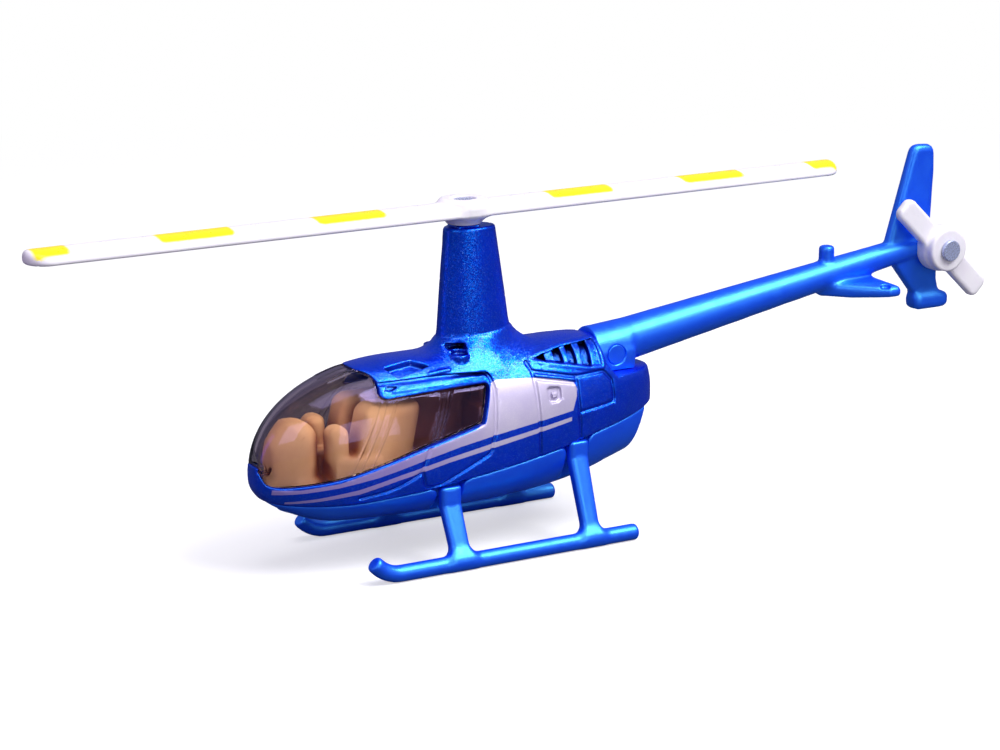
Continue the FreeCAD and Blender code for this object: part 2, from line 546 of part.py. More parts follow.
def save():
    os.makedirs("parts", exist_ok=True)
    parts = build()
    whole = Part.makeCompound(list(parts.values())).optimalBoundingBox(False)
    shift = Vector(0, -(whole.YMin + whole.YMax) / 2, 0)
    for name, shape in parts.items():
        shape.translate(shift)
        shape.exportStep("parts/%s.step" % name)
        size = shape.BoundBox
        print("%-16s solids %d valid %s x %.2f..%.2f y %.2f..%.2f z %.2f..%.2f" % (
            name, len(shape.Solids), shape.isValid(), size.XMin, size.XMax, size.YMin, size.YMax, size.ZMin, size.ZMax))
    print("moved along y by %.4f" % shift.y)


save()
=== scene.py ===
import json
import math

import bpy
import numpy as np
import openvdb
from mathutils import Matrix, Vector


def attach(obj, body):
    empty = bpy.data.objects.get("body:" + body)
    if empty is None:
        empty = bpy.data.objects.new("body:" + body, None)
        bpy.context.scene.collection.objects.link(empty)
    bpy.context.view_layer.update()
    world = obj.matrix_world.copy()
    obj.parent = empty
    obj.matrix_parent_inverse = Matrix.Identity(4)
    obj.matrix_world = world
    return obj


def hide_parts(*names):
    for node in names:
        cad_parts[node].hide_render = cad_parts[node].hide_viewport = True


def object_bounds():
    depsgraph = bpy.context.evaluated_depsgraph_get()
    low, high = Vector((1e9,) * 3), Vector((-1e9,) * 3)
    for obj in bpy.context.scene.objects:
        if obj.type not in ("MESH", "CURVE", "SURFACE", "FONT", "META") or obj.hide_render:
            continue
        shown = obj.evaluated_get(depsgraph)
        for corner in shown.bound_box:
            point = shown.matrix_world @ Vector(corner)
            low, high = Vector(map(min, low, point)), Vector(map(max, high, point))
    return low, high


# A pocket-sized die-cast helicopter. Lengths are millimetres measured from the mast: the main rotor
# turns about x = 0, y = 0, the nose points along -y, the left side is +x and z = 0 is the ground.
# Each new piece is a solid described by a distance function (negative inside), sampled on a block of
# small cubes and turned into a mesh, so that edges, fillets and grooves are real geometry. The pins
# and rivets keep their CAD meshes.

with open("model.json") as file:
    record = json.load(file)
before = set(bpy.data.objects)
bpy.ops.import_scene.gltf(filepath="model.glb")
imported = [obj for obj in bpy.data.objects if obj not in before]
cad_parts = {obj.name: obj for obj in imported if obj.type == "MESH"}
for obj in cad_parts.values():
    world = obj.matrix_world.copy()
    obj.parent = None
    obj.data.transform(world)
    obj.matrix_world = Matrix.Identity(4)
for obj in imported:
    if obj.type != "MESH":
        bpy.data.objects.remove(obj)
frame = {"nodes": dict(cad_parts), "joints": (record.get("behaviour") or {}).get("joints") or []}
cad_low, cad_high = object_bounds()

MM = 0.001
SPINS = {joint["name"]: Vector(joint["pos_m"]) for joint in frame["joints"]}
MAST = Vector((0.0, SPINS["main_rotor_spin"].y, 0.0))
TAIL_AXLE = (SPINS["tail_rotor_spin"] - MAST) / MM
# The sides of the cubes, in millimetres.
STEP = 0.06
BODY_STEP = 0.1


# ---------------------------------------------------------------- blocks of space and solids

class Block:
    """A box of space cut into small cubes. A mirrored block only stores the side where x is positive."""

    def __init__(self, low, high, step, mirrored=False):
        self.step = step
        self.mirrored = mirrored
        self.low = (0.0 if mirrored else low[0], low[1], low[2])
        axes = [np.arange(a, b + step, step, dtype=np.float32) for a, b in zip(self.low, high)]
        self.x, self.y, self.z = np.meshgrid(*axes, indexing="ij", sparse=True)

    def evened(self, values):
        """Values divided by how steeply they change, which makes them close to true distances."""
        steepness = np.sqrt(sum(part * part for part in np.gradient(values, self.step)))
        return values / np.maximum(steepness, 0.7)


def join(a, b, blend=0.01):
    """Union of two solids, with a fillet about as wide as blend."""
    share = np.clip(0.5 + 0.5 * (b - a) / blend, 0.0, 1.0)
    return b + (a - b) * share - blend * share * (1.0 - share)


def overlap(a, b, blend=0.01):
    """The space that two solids share, with edges rounded by about blend."""
    return -join(-a, -b, blend)


def cut(a, b, blend=0.01):
    """Solid a without solid b, with edges rounded by about blend."""
    return overlap(a, -b, blend)


def brick(u, v, w, size, radius):
    """A box with rounded edges. u, v and w are measured from its centre, size is its half size."""
    du, dv, dw = abs(u) - size[0] + radius, abs(v) - size[1] + radius, abs(w) - size[2] + radius
    outside = np.sqrt(np.maximum(du, 0) ** 2 + np.maximum(dv, 0) ** 2 + np.maximum(dw, 0) ** 2)
    return outside + np.minimum(np.maximum(np.maximum(du, dv), dw), 0) - radius


def segment_distance(u, v, start, end):
    """Distance in a plane to the straight line from start to end."""
    du, dv = end[0] - start[0], end[1] - start[1]
    along = np.clip(((u - start[0]) * du + (v - start[1]) * dv) / max(du * du + dv * dv, 1e-9), 0.0, 1.0)
    return np.hypot(u - start[0] - along * du, v - start[1] - along * dv)


def line_distance(points, u, v):
    """Distance in a plane to an open line through points."""
    nearest = segment_distance(u, v, points[0], points[1])
    for start, end in zip(points[1:-1], points[2:]):
        nearest = np.minimum(nearest, segment_distance(u, v, start, end))
    return nearest


def outline_distance(points, u, v):
    """Signed distance in a plane to a closed outline, negative inside."""
    nearest = line_distance(list(points) + [points[0]], u, v)
    inside = np.zeros(np.broadcast(u, v).shape, bool)
    for (u0, v0), (u1, v1) in zip(points, list(points[1:]) + [points[0]]):
        if v0 != v1:
            inside ^= ((v0 > v) != (v1 > v)) & (u < u0 + (u1 - u0) * (v - v0) / (v1 - v0))
    return np.where(inside, -nearest, nearest)


def through(points, steps=6):
    """A smooth curve through points, by Catmull-Rom interpolation."""
    padded = [points[0]] + list(points) + [points[-1]]
    curve = []
    for p0, p1, p2, p3 in zip(padded, padded[1:], padded[2:], padded[3:]):
        for t in np.arange(steps) / steps:
            curve.append(tuple(0.5 * (2 * b + (c - a) * t + (2 * a - 5 * b + 4 * c - d) * t * t
                                      + (3 * b - a - 3 * c + d) * t ** 3)
                               for a, b, c, d in zip(p0, p1, p2, p3)))
    return curve + [tuple(points[-1])]


def rounded(points, radius, closed=True, steps=5):
    """The points of an outline with every corner turned into an arc."""
    ends = [] if closed else [points[-1]]
    result = [] if closed else [points[0]]
    corners = range(len(points)) if closed else range(1, len(points) - 1)
    for index in corners:
        before, here, after = (Vector(points[k % len(points)]) for k in (index - 1, index, index + 1))
        back, ahead = (before - here), (after - here)
        half_angle = back.angle(ahead) / 2
        reach = min(radius / max(math.tan(half_angle), 1e-3), 0.48 * back.length, 0.48 * ahead.length)
        start, end = here + back.normalized() * reach, here + ahead.normalized() * reach
        for t in np.linspace(0, 1, steps):
            result.append(tuple((start * (1 - t) + here * t) * (1 - t) + (here * (1 - t) + end * t) * t))
    return result + ends


def mirrored(points):
    """A whole plan outline from its left half."""
    return list(points) + [(-x, y) for x, y in reversed(points)]


# ---------------------------------------------------------------- meshes from solids

def sample(values, places):
    """Values between the corners of the cubes, by trilinear interpolation. Places are in cubes."""
    base = np.clip(np.floor(places).astype(int), 0, np.array(values.shape) - 2)
    part = places - base
    total = 0
    for corner in np.ndindex(2, 2, 2):
        weight = np.prod(np.where(corner, part, 1 - part), axis=1)
        total = total + weight * values[tuple((base + corner).T)]
    return total


def slope(values, places):
    """How steeply values rise along each axis at places."""
    reach = 0.75
    columns = []
    for axis in range(3):
        move = np.zeros(3)
        move[axis] = reach
        columns.append((sample(values, places + move) - sample(values, places - move)) / (2 * reach))
    return np.stack(columns, axis=1)


def skin(name, block, values, coarse, turn=None, origin=(0, 0, 0), marks=None):
    """The mesh where a solid's distance is zero. Marks are named values kept at each vertex."""
    values = np.broadcast_to(values, np.broadcast(block.x, block.y, block.z).shape).astype(np.float32)
    low = np.array(block.low)
    if block.mirrored:
        low[0] = -block.step * (values.shape[0] - 1)
        values = np.concatenate([values[:0:-1], values])
    band = 3 * block.step
    grid = openvdb.FloatGrid(background=band)
    grid.copyFromArray(np.clip(values, -band, band))
    places, triangles, quads = grid.convertToPolygons(isovalue=0.0, adaptivity=coarse)
    places = places.astype(float)
    # Two steps along the slope bring each vertex onto the surface.
    for _ in range(2):
        steep = slope(values, places)
        size = np.maximum((steep ** 2).sum(1, keepdims=True), 1e-9)
        move = -sample(values, places)[:, None] * steep / size
        places += np.clip(move, -0.4, 0.4)
    normals = slope(values, places)
    normals /= np.maximum(np.linalg.norm(normals, axis=1, keepdims=True), 1e-9)
    points = low + places * block.step
    faces = [tuple(face) for face in quads.tolist()] + [tuple(face) for face in triangles.tolist()]
    first = np.array([face[:3] for face in faces])
    across = np.cross(points[first[:, 1]] - points[first[:, 0]], points[first[:, 2]] - points[first[:, 0]])
    if (across * normals[first[:, 0]]).sum() < 0:
        faces = [face[::-1] for face in faces]
    local = points
    if turn is not None:
        points, normals = points @ turn.T, normals @ turn.T
    points = points + np.array(origin)
    mesh = bpy.data.meshes.new(name)
    mesh.from_pydata((points * MM + np.array(MAST)).tolist(), [], faces)
    mesh.polygons.foreach_set("use_smooth", np.ones(len(mesh.polygons), bool))
    for mark, rule in (marks or {}).items():
        attribute = mesh.attributes.new(mark, "FLOAT", "POINT")
        attribute.data.foreach_set("value", rule(*local.T).astype(np.float32))
    mesh.normals_split_custom_set_from_vertices(normals.tolist())
    piece = bpy.data.objects.new(name, mesh)
    bpy.context.scene.collection.objects.link(piece)
    print("made", name, len(mesh.polygons), "faces")
    return piece


# ---------------------------------------------------------------- fuselage skin

NOSE_Y, TAIL_Y, WIDEST_Y = -25.9, 23.3, -5.0
HALF_WIDTH = 7.35
ROOF_Z, KEEL_Z, NOSE_Z, STERN_Z = 22.3, 5.0, 11.1, 15.0
ROOF_FRONT_Y, ROOF_REAR_Y = -9.0, 9.0
KEEL_FRONT_Y, KEEL_REAR_Y = -9.0, -3.0
STERN_KEEL_Y, STERN_KEEL_Z, STERN_KEEL_RISE = 12.0, 6.0, 0.24
CHIN_Y, CHIN_LENGTH, CHIN_DROP = -18.5, 3.5, 0.35
UPPER_POWER, LOWER_POWER = 2.3, 2.6


def round_end(distance, power):
    """Height of a superellipse of height 1 at a distance from 0 (middle) to 1 (tip)."""
    return (1.0 - np.clip(np.abs(distance), 0.0, 1.0) ** power) ** (1.0 / power)


def hull_station(y):
    """Half width, middle height, top and bottom of the fuselage skin at y."""
    ahead = (y - WIDEST_Y) / (NOSE_Y - WIDEST_Y)
    behind = (y - WIDEST_Y) / (TAIL_Y - WIDEST_Y)
    half = HALF_WIDTH * np.where(y < WIDEST_Y, round_end(ahead, 2.1), round_end(behind, 2.4))
    along = np.clip(behind, 0.0, 1.0)
    middle = NOSE_Z + (STERN_Z - NOSE_Z) * along * along * (3.0 - 2.0 * along)
    roof_ahead = round_end(np.maximum((y - ROOF_FRONT_Y) / (NOSE_Y - ROOF_FRONT_Y), 0.0), 2.1)
    roof_behind = round_end(np.maximum((y - ROOF_REAR_Y) / (TAIL_Y - ROOF_REAR_Y), 0.0), 2.6)
    front_roof = NOSE_Z + (ROOF_Z - NOSE_Z) * roof_ahead
    rear_roof = STERN_Z + (ROOF_Z - STERN_Z) * roof_behind
    top = np.where(y < 0, front_roof, rear_roof)
    keel_ahead = round_end(np.maximum((y - KEEL_FRONT_Y) / (NOSE_Y - KEEL_FRONT_Y), 0.0), 2.3)
    keel_behind = round_end(np.maximum((y - KEEL_REAR_Y) / (TAIL_Y - KEEL_REAR_Y), 0.0), 2.6)
    front_keel = NOSE_Z - (NOSE_Z - KEEL_Z) * keel_ahead
    rear_keel = STERN_Z - (STERN_Z - KEEL_Z) * keel_behind
    bottom = np.where(y < -6, front_keel, rear_keel)
    straight = STERN_KEEL_Z + STERN_KEEL_RISE * (y - STERN_KEEL_Y)
    bottom = np.where(y > STERN_KEEL_Y, np.minimum(bottom, straight), bottom)
    chin = CHIN_DROP * np.exp(-((y - CHIN_Y) / CHIN_LENGTH) ** 2)
    return half, middle, top, bottom - chin


def hull(block):
    """Distance to the fuselage skin."""
    half, middle, top, bottom = (np.asarray(part, np.float32) for part in hull_station(block.y))
    rise = block.z - middle
    power = np.where(rise >= 0, UPPER_POWER, LOWER_POWER).astype(np.float32)
    height = np.where(rise >= 0, top - middle, middle - bottom)
    across = abs(block.x) / np.maximum(half, 0.02)
    up = abs(rise) / np.maximum(height, 0.02)
    ratio = np.maximum(across ** power + up ** power, 1e-6) ** (1.0 / power)
    away = np.sqrt(block.x ** 2 + rise ** 2 + 1e-4)
    radial = away - away / ratio
    ends = np.maximum(NOSE_Y + 0.1 - block.y, block.y - TAIL_Y + 0.1)
    return overlap(block.evened(radial), ends, 0.2)


# Outlines drawn on the side of the fuselage, as (y, z). The hatch and the skirt are in plan, as (x, y).
SEAM = through([(-30, 8.6), (-24, 8.3), (-17, 8.1), (-11.6, 8.5), (-7, 8.9), (-3.4, 9.4), (1.6, 10.0),
                (8.5, 11.0), (12.3, 11.8), (20.5, 13.2), (30, 15.0)])
SILL = through([(-30, 12.5), (-25.85, 12.4), (-25.5, 11.8), (-25.05, 10.7), (-24.2, 10.35), (-22.2, 10.45),
                (-18.2, 10.95), (-13.9, 12.0), (-8.2, 13.5), (-2.7, 14.75)])
WINDOW_REAR = rounded([(-2.7, 14.75), (-1.4, 15.1), (0.05, 19.25), (-3.6, 19.2)], 0.55, closed=False)
WINDOW_HEAD = through([(-3.6, 19.2), (-7.3, 19.1), (-10.8, 18.95), (-12.2, 18.9), (-12.85, 19.3),
                       (-12.75, 20.2), (-12.9, 20.9), (-13.4, 21.35), (-14.2, 21.6), (-14.6, 21.9)])
WINDOW = SILL + WINDOW_REAR[1:] + WINDOW_HEAD[1:] + [(-14.7, 26), (-30, 26)]
SHELF_Z = 17.7
NOTCH = [(15.5, 22.8), (15.4, 19.3), (16.6, SHELF_Z), (90, SHELF_Z), (90, 90), (15.5, 90)]
DOOR = rounded([(-12.6, 20.35), (-6.8, 20.4), (0.2, 20.2), (0.45, 18.5), (-0.1, 14.4), (-0.8, 11.9),
                (-6.6, 9.35), (-8.6, 8.9), (-9.1, 11.0), (-8.1, 13.4)], 0.9, closed=False)
CHINE = through([(-9.05, 10.9), (-12.3, 9.5), (-16.0, 8.8)])
COWL_LINES = [
    rounded([(5.2, 20.6), (5.5, 19.6), (5.5, 13.5), (5.6, 10.4)], 0.5, closed=False),
    [(10.8, 18.6), (10.8, 16.0), (11.0, 11.2)],
    rounded([(5.5, 19.7), (10.8, 18.55), (14.6, 18.6), (15.6, 17.5), (15.8, 15.1), (11.1, 14.7)], 0.5,
            closed=False),
    [(5.5, 19.0), (10.8, 17.9)],
]
LOUVRE_BAY = rounded([(5.0, 20.9), (10.3, 21.75), (15.1, 21.9), (14.8, 18.95), (12.3, 19.25),
                      (7.7, 20.25)], 0.3)
LOUVRE_SLOTS = [
    rounded([(6.6, 20.85), (7.75, 21.2), (7.75, 20.35)], 0.15),
    rounded([(9.0, 21.35), (10.05, 21.45), (9.9, 19.95), (8.8, 20.15)], 0.25),
    rounded([(10.85, 21.5), (11.8, 21.55), (11.5, 19.6), (10.45, 19.9)], 0.25),
    rounded([(12.75, 21.6), (13.85, 21.65), (13.3, 19.2), (12.2, 19.5)], 0.25),
]
SCOOP = rounded([(-12.2, 19.75), (-11.9, 20.1), (-10.5, 20.0), (-11.6, 19.65)], 0.1)
LATCH = rounded([(6.8, 17.95), (8.6, 17.75), (8.5, 16.5), (7.9, 16.2), (6.9, 16.3)], 0.4)
HATCH = rounded([(2.65, -11.35), (2.15, -7.85), (3.35, -6.1), (4.1, -10.3)], 0.15)
SKIRT = rounded([(0, -5.4), (2.2, -5.0), (3.5, -3.6), (3.95, -1.0), (3.85, 1.8), (3.0, 3.8), (0.6, 7.6),
                 (0, 7.6)], 0.3, closed=False)
MAST_FOOT_Z, MAST_TOP_Z = 23.8, 35.5
MAST_FOOT_Y = 1.03
INLET_X, INLET_Y = 3.0, -2.3
CASTING_WALL = 0.9
CABIN_REAR_Y = 1.6
GROOVE_RADIUS = 0.2


def oval(x, y, centre_y, half_length, half_width):
    """Rough distance in plan to an ellipse on the middle line, negative inside."""
    away = np.sqrt(x ** 2 + (y - centre_y) ** 2 + 1e-4)
    ratio = np.sqrt((x / half_width) ** 2 + ((y - centre_y) / half_length) ** 2)
    return away - away / np.maximum(ratio, 1e-3)


def mast(block):
    """The tapered mast above its crease, as a solid."""
    rise = (block.z - MAST_FOOT_Z) / (MAST_TOP_Z - MAST_FOOT_Z)
    tower = oval(block.x, block.y, MAST_FOOT_Y - 0.38 * rise, 4.4 - 1.4 * rise, 2.6 - 0.6 * rise)
    return overlap(tower, block.z - MAST_TOP_Z, 0.3)


def mast_skirt(block):
    """The faceted foot that spreads from the mast's crease onto the roof."""
    crease = 23.6 + 0.075 * (block.y + 3.0)
    drop = np.clip((crease - block.z) / 2.3, 0.0, 1.6)
    plan = outline_distance(mirrored(SKIRT), block.x, block.y)
    ring = oval(block.x, block.y, MAST_FOOT_Y, 4.52, 2.72)
    return overlap((ring * (1 - drop) + plan * drop) * 0.8, block.z - crease, 0.1)


def body_shell():
    """The painted casting: cabin frame, roof, mast and cowl."""
    block = Block((0, NOSE_Y - 0.7, 7.0), (8.0, TAIL_Y + 0.8, MAST_TOP_Z + 0.6), BODY_STEP, mirrored=True)
    x, y, z = block.x, block.y, block.z
    outer = hull(block)
    solid = join(outer, mast_skirt(block), 0.9)
    solid = join(solid, mast(block), 0.12)
    solid = join(solid, brick(x, y, z - MAST_TOP_Z, (1.3, 1.3, 0.22), 0.1), 0.1)
    # Air inlets beside the mast foot: a slot over a shallow round dish.
    dish = np.hypot(x - INLET_X, y - INLET_Y)
    solid = join(solid, overlap(dish - 1.1, abs(z - 21.6) - 0.6, 0.2), 0.12)
    solid = cut(solid, overlap(dish - 0.88, 22.0 - z, 0.1), 0.1)
    solid = cut(solid, brick(x - (INLET_X + 0.6), y - INLET_Y, z - 22.85, (2.2, 1.0, 0.32), 0.15), 0.1)
    # Window openings, and the hollow cabin behind them.
    window = outline_distance(WINDOW, y, z)
    solid = cut(solid, window, 0.22)
    hollow = overlap(outer + CASTING_WALL, y - CABIN_REAR_Y)
    solid = cut(solid, hollow, 0.1)
    # The seam over the plastic belly and the notch for the tail.
    seam = np.interp(y, *zip(*SEAM))
    solid = overlap(solid, seam - z, 0.22)
    solid = cut(solid, outline_distance(NOTCH, y, z), 0.25)
    # Panel lines follow the skin as round-bottomed grooves.
    for line in [DOOR, CHINE] + COWL_LINES:
        groove = np.hypot(line_distance(line, y, z), outer) - GROOVE_RADIUS
        solid = cut(solid, np.maximum(groove, 2.0 - x), 0.1)
    # Two fine mouldings along the door's upper rail.
    for height in (19.66, 19.98):
        ridge = line_distance([(-11.4, height - 0.05), (-1.4, height)], y, z)
        solid = join(solid, np.hypot(ridge, outer + 0.04) - 0.1, 0.1)
    # A small grip above the door and the scoop at the head of the windscreen.
    grip = np.hypot(line_distance([(-6.6, 20.72), (-4.2, 20.88)], y, z), x - 4.2) - 0.2
    solid = join(solid, grip, 0.15)
    solid = cut(solid, overlap(outline_distance(SCOOP, y, z), -outer - 0.25, 0.1), 0.1)
    # Louvres on the cowl, latch recesses and roof hatches.
    bay = outline_distance(LOUVRE_BAY, y, z)
    border = join(solid, overlap(abs(bay) - 0.16, abs(outer) - 0.1, 0.1), 0.12)
    solid = np.where(x > 1.7, border, solid)
    solid = cut(solid, np.maximum(overlap(bay + 0.25, -outer - 0.14, 0.1), 1.9 - x), 0.08)
    for slot in LOUVRE_SLOTS:
        deep = overlap(outline_distance(slot, y, z), -outer - 0.75, 0.1)
        solid = cut(solid, np.maximum(deep, 1.9 - x), 0.1)
    latch = outline_distance(LATCH, y, z)
    solid = cut(solid, np.maximum(overlap(latch, -outer - 0.3, 0.15), 2.0 - x), 0.12)
    plate = overlap(latch + 0.45, -outer - 0.12, 0.1)
    solid = join(solid, np.maximum(overlap(plate, outer + 0.02, 0.1), 2.0 - x), 0.1)
    hatch = outline_distance(HATCH, x, y)
    solid = cut(solid, np.maximum(overlap(hatch, -outer - 0.65, 0.1), 19.0 - z), 0.1)
    return skin("body_casting", block, solid, 0.12)


# Printed decoration on both sides, as edges that give z at y: a panel that narrows forward under the
# window, and a stripe below it.
PANEL_TOP = [(-28.0, 9.8), (-24.8, 10.1), (-22.1, 10.15), (-18.2, 10.65), (-13.9, 11.8), (-8.2, 13.35),
             (-2.6, 14.65), (-1.2, 15.2), (0.05, 19.0), (0.8, 19.45), (5.0, 19.15), (8.7, 18.5), (12.0, 17.5)]
PANEL_FOOT = [(-28.0, 9.3), (-22.1, 9.75), (-18.2, 10.2), (-13.9, 10.95), (-8.2, 12.35), (-4.6, 13.1),
              (0.3, 13.85), (12.0, 15.3)]
PANEL_FRONT_Y, PANEL_REAR_Y, PANEL_REAR_Z, PANEL_REAR_SLANT = -24.6, 10.8, 17.2, 0.42
STRIPE_TOP = [(-28.0, 8.5), (-23.4, 8.75), (-20.2, 9.15), (-16.1, 9.8), (-11.7, 10.9), (-5.9, 12.1),
              (0.3, 13.1), (12.0, 14.65)]
STRIPE_FOOT = [(-28.0, 8.2), (-23.4, 8.5), (-20.2, 8.8), (-16.1, 9.3), (-11.7, 10.4), (-5.9, 11.6),
               (0.3, 12.55), (12.0, 14.25)]
STRIPE_FRONT_Y, STRIPE_REAR_Y = -23.4, 9.7


# ---------------------------------------------------------------- glazing and cabin

GLASS_THICKNESS = 0.75


def canopy():
    """The clear moulding that fills the windscreen and both side windows."""
    block = Block((0, NOSE_Y - 0.5, 9.5), (7.9, 1.0, 23.2), STEP, mirrored=True)
    x, y, z = block.x, block.y, block.z
    outer = hull(block)
    setback = 0.08 + 0.45 * np.clip((y + 15.0) / 8.0, 0.0, 1.0)
    pane = overlap(outer + setback, -outer - setback - GLASS_THICKNESS, 0.08)
    window = outline_distance(WINDOW, y, z)
    pane = overlap(pane, window + 0.07, 0.12)
    # Moulded lines that stand proud of the pane: three at the front and three at the rear of each side
    # window, and a pair on each side of the middle over the nose.
    lines = [((-13.1, 18.6), (-16.9, 11.7)), ((-12.3, 18.6), (-16.0, 11.8)), ((-11.2, 18.5), (-14.7, 12.2))]
    lines += [((-5.6, 18.8), (-7.6, 14.0)), ((-5.1, 18.8), (-7.1, 14.1)), ((-4.5, 18.8), (-6.5, 14.3))]
    for line in lines:
        ridge = np.hypot(line_distance(line, y, z), outer + setback + 0.02) - 0.12
        pane = join(pane, np.maximum(ridge, 2.0 - x), 0.08)
    for offset in (1.35, 1.75):
        pair = np.hypot(abs(x) - offset, outer + setback + 0.02) - 0.09
        pane = join(pane, overlap(pair, abs(y + 15.3) - 2.1, 0.1), 0.08)
    return skin("canopy_glass", block, pane, 0.1)


FLOOR_Z, TUB_FOOT_Z, TUB_CLEARANCE = 10.3, 9.6, 1.35
LEAN_Z = 13.0
# Rounded blocks in the cabin: centre, half size, edge radius, fillet, and lean back per unit of height.
CABIN_BLOCKS = {
    "console": ((0, -21.2, 12.6), (2.9, 2.6, 4.1), 2.2, 1.0, 0),
    "knee_pad": ((2.9, -17.2, 14.0), (1.5, 1.15, 2.2), 1.05, 0.5, 0),
    "seat": ((2.9, -15.2, 11.2), (2.3, 2.8, 1.7), 0.9, 0.5, 0),
    "backrest": ((2.7, -12.0, 14.0), (2.1, 3.3, 4.1), 1.2, 0.5, 0.22),
    "divider": ((0, -14.0, 11.2), (1.0, 6.0, 1.8), 0.6, 0.5, 0),
    "bench": ((0, -3.4, 10.8), (7.0, 3.0, 1.4), 0.8, 0.5, 0),
    "bench_back": ((0, -0.3, 13.5), (7.0, 1.0, 3.4), 0.8, 0.5, 0),
    "bulkhead": ((0, 1.2, 14.0), (7.0, 0.4, 6.8), 0.2, 0.3, 0),
    "mast_box": ((0, -4.2, 14.2), (1.2, 5.6, 5.6), 0.8, 0.4, 0),
    "rear_pad": ((3.3, 0.2, 16.2), (1.5, 0.9, 3.0), 0.8, 0.4, 0),
}


def cabin():
    """The tan cabin tub with its console, front seats, rear bench and bulkhead."""
    block = Block((0, -24.6, 9.0), (6.6, 2.0, 21.5), STEP * 1.5, mirrored=True)
    x, y, z = block.x, block.y, block.z
    solid = z - FLOOR_Z
    for centre, size, radius, fillet, lean in CABIN_BLOCKS.values():
        along = y - centre[1]
        if lean:
            along = along - lean * (z - LEAN_Z)
        solid = join(solid, brick(x - centre[0], along, z - centre[2], size, radius), fillet)
    solid = overlap(solid, hull(block) + TUB_CLEARANCE, 0.2)
    solid = overlap(solid, TUB_FOOT_Z - z, 0.1)
    return skin("cabin_tub", block, solid, 0.1)


# ---------------------------------------------------------------- belly and landing gear

FRONT_LEG_Y, REAR_LEG_Y = -5.55, 10.7
LEG_THICKNESS = 1.4
SKID_X, SKID_RADIUS = 9.2, 0.92
SKID_Z = SKID_RADIUS - 0.05
RIVETS = ((-20.3, 6.95), (6.5, 5.95))
TRAY_WALL = 1.1
SLOT_HALF, SLOT_X = 1.5, 4.6
# Each leg: y, half width, x and z of its shoulder, and the height where it starts to spread.
LEGS = ((FRONT_LEG_Y, 1.07, 7.3, 8.75, 6.6), (REAR_LEG_Y, 0.98, 6.75, 11.4, 9.5))
SKID_FRONT_Y, SKID_REAR_Y, SKID_BEND = -12.8, 16.5, 4.0
SKID_CURL = math.radians(44)


def belly():
    """The plastic tray under the seam, slotted for the legs and counterbored for two rivets."""
    block = Block((0, NOSE_Y - 0.5, 4.3), (7.8, TAIL_Y + 0.5, 15.2), BODY_STEP * 0.8, mirrored=True)
    x, y, z = block.x, block.y, block.z
    outer = hull(block) + 0.12
    panel = z - np.interp(y, *zip(*SEAM)) + 0.06
    for leg_y in (FRONT_LEG_Y, REAR_LEG_Y):
        slot = abs(y - leg_y) - SLOT_HALF
        sides = overlap(panel, -slot, 1.1)
        panel = np.where(x > SLOT_X, sides, panel)
    # A sloping plane ends the tray and leaves its hollow open at the stern.
    stern = (y - 21.3) * 0.935 - (z - 12.8) * 0.355
    solid = overlap(overlap(outer, stern, 0.35), panel, 0.3)
    solid = cut(solid, outer + TRAY_WALL, 0.1)
    for rivet_y, seat in RIVETS:
        away = np.hypot(x, y - rivet_y)
        solid = join(solid, overlap(away - 2.4, abs(z - seat - 0.5) - 0.5, 0.1), 0.1)
        solid = cut(solid, overlap(away - 1.55, z - seat, 0.1), 0.1)
    return skin("belly_tray", block, solid, 0.12)


def skid_gear():
    """Both skids and their four legs, one moulding."""
    block = Block((0, -17.5, -0.2), (10.6, 17.2, 12.2), STEP * 1.3, mirrored=True)
    x, y, z = block.x, block.y, block.z
    # Each skid is a straight tube that curls up at the front.
    curl = [(SKID_FRONT_Y - SKID_BEND * math.sin(a), SKID_Z + SKID_BEND * (1 - math.cos(a)))
            for a in np.linspace(0, SKID_CURL, 7)]
    end_y, end_z = curl[-1]
    forward, upward = math.cos(SKID_CURL), math.sin(SKID_CURL)
    tip = (end_y - 1.2 * forward, end_z + 1.2 * upward)
    tube = np.hypot(line_distance([(20.0, SKID_Z)] + curl + [tip], y, z), x - SKID_X) - SKID_RADIUS
    tube = overlap(tube, y - SKID_REAR_Y, 0.5)
    nose = (end_y - y) * forward + (z - end_z) * upward - 0.75
    solid = overlap(tube, nose, 0.45)
    inside = hull(block) + (TRAY_WALL + 0.1)
    seam = np.interp(y, *zip(*SEAM))
    half = LEG_THICKNESS / 2
    for leg_y, half_width, shoulder_x, shoulder_z, bend_z in LEGS:
        middle = [(shoulder_x - half, shoulder_z + 2), (shoulder_x - half, bend_z), (SKID_X - 0.1, 1.35)]
        slab = line_distance(middle, x, z) - half
        width = half_width + 0.02 * np.maximum(z, 0.0)
        leg = overlap(slab, abs(y - leg_y) - width, 0.6)
        leg = overlap(leg, z - shoulder_z, 0.3)
        solid = join(solid, leg, 1.2)
        # The cross beam fills the tray behind the leg's slot.
        beam = brick(x, y - leg_y, z - seam + 2.0, (7.0, 1.9, 1.95), 0.2)
        solid = join(solid, overlap(beam, inside, 0.1), 0.2)
    solid = overlap(solid, -z, 0.1)
    return skin("landing_gear", block, solid, 0.12)


# ---------------------------------------------------------------- tail

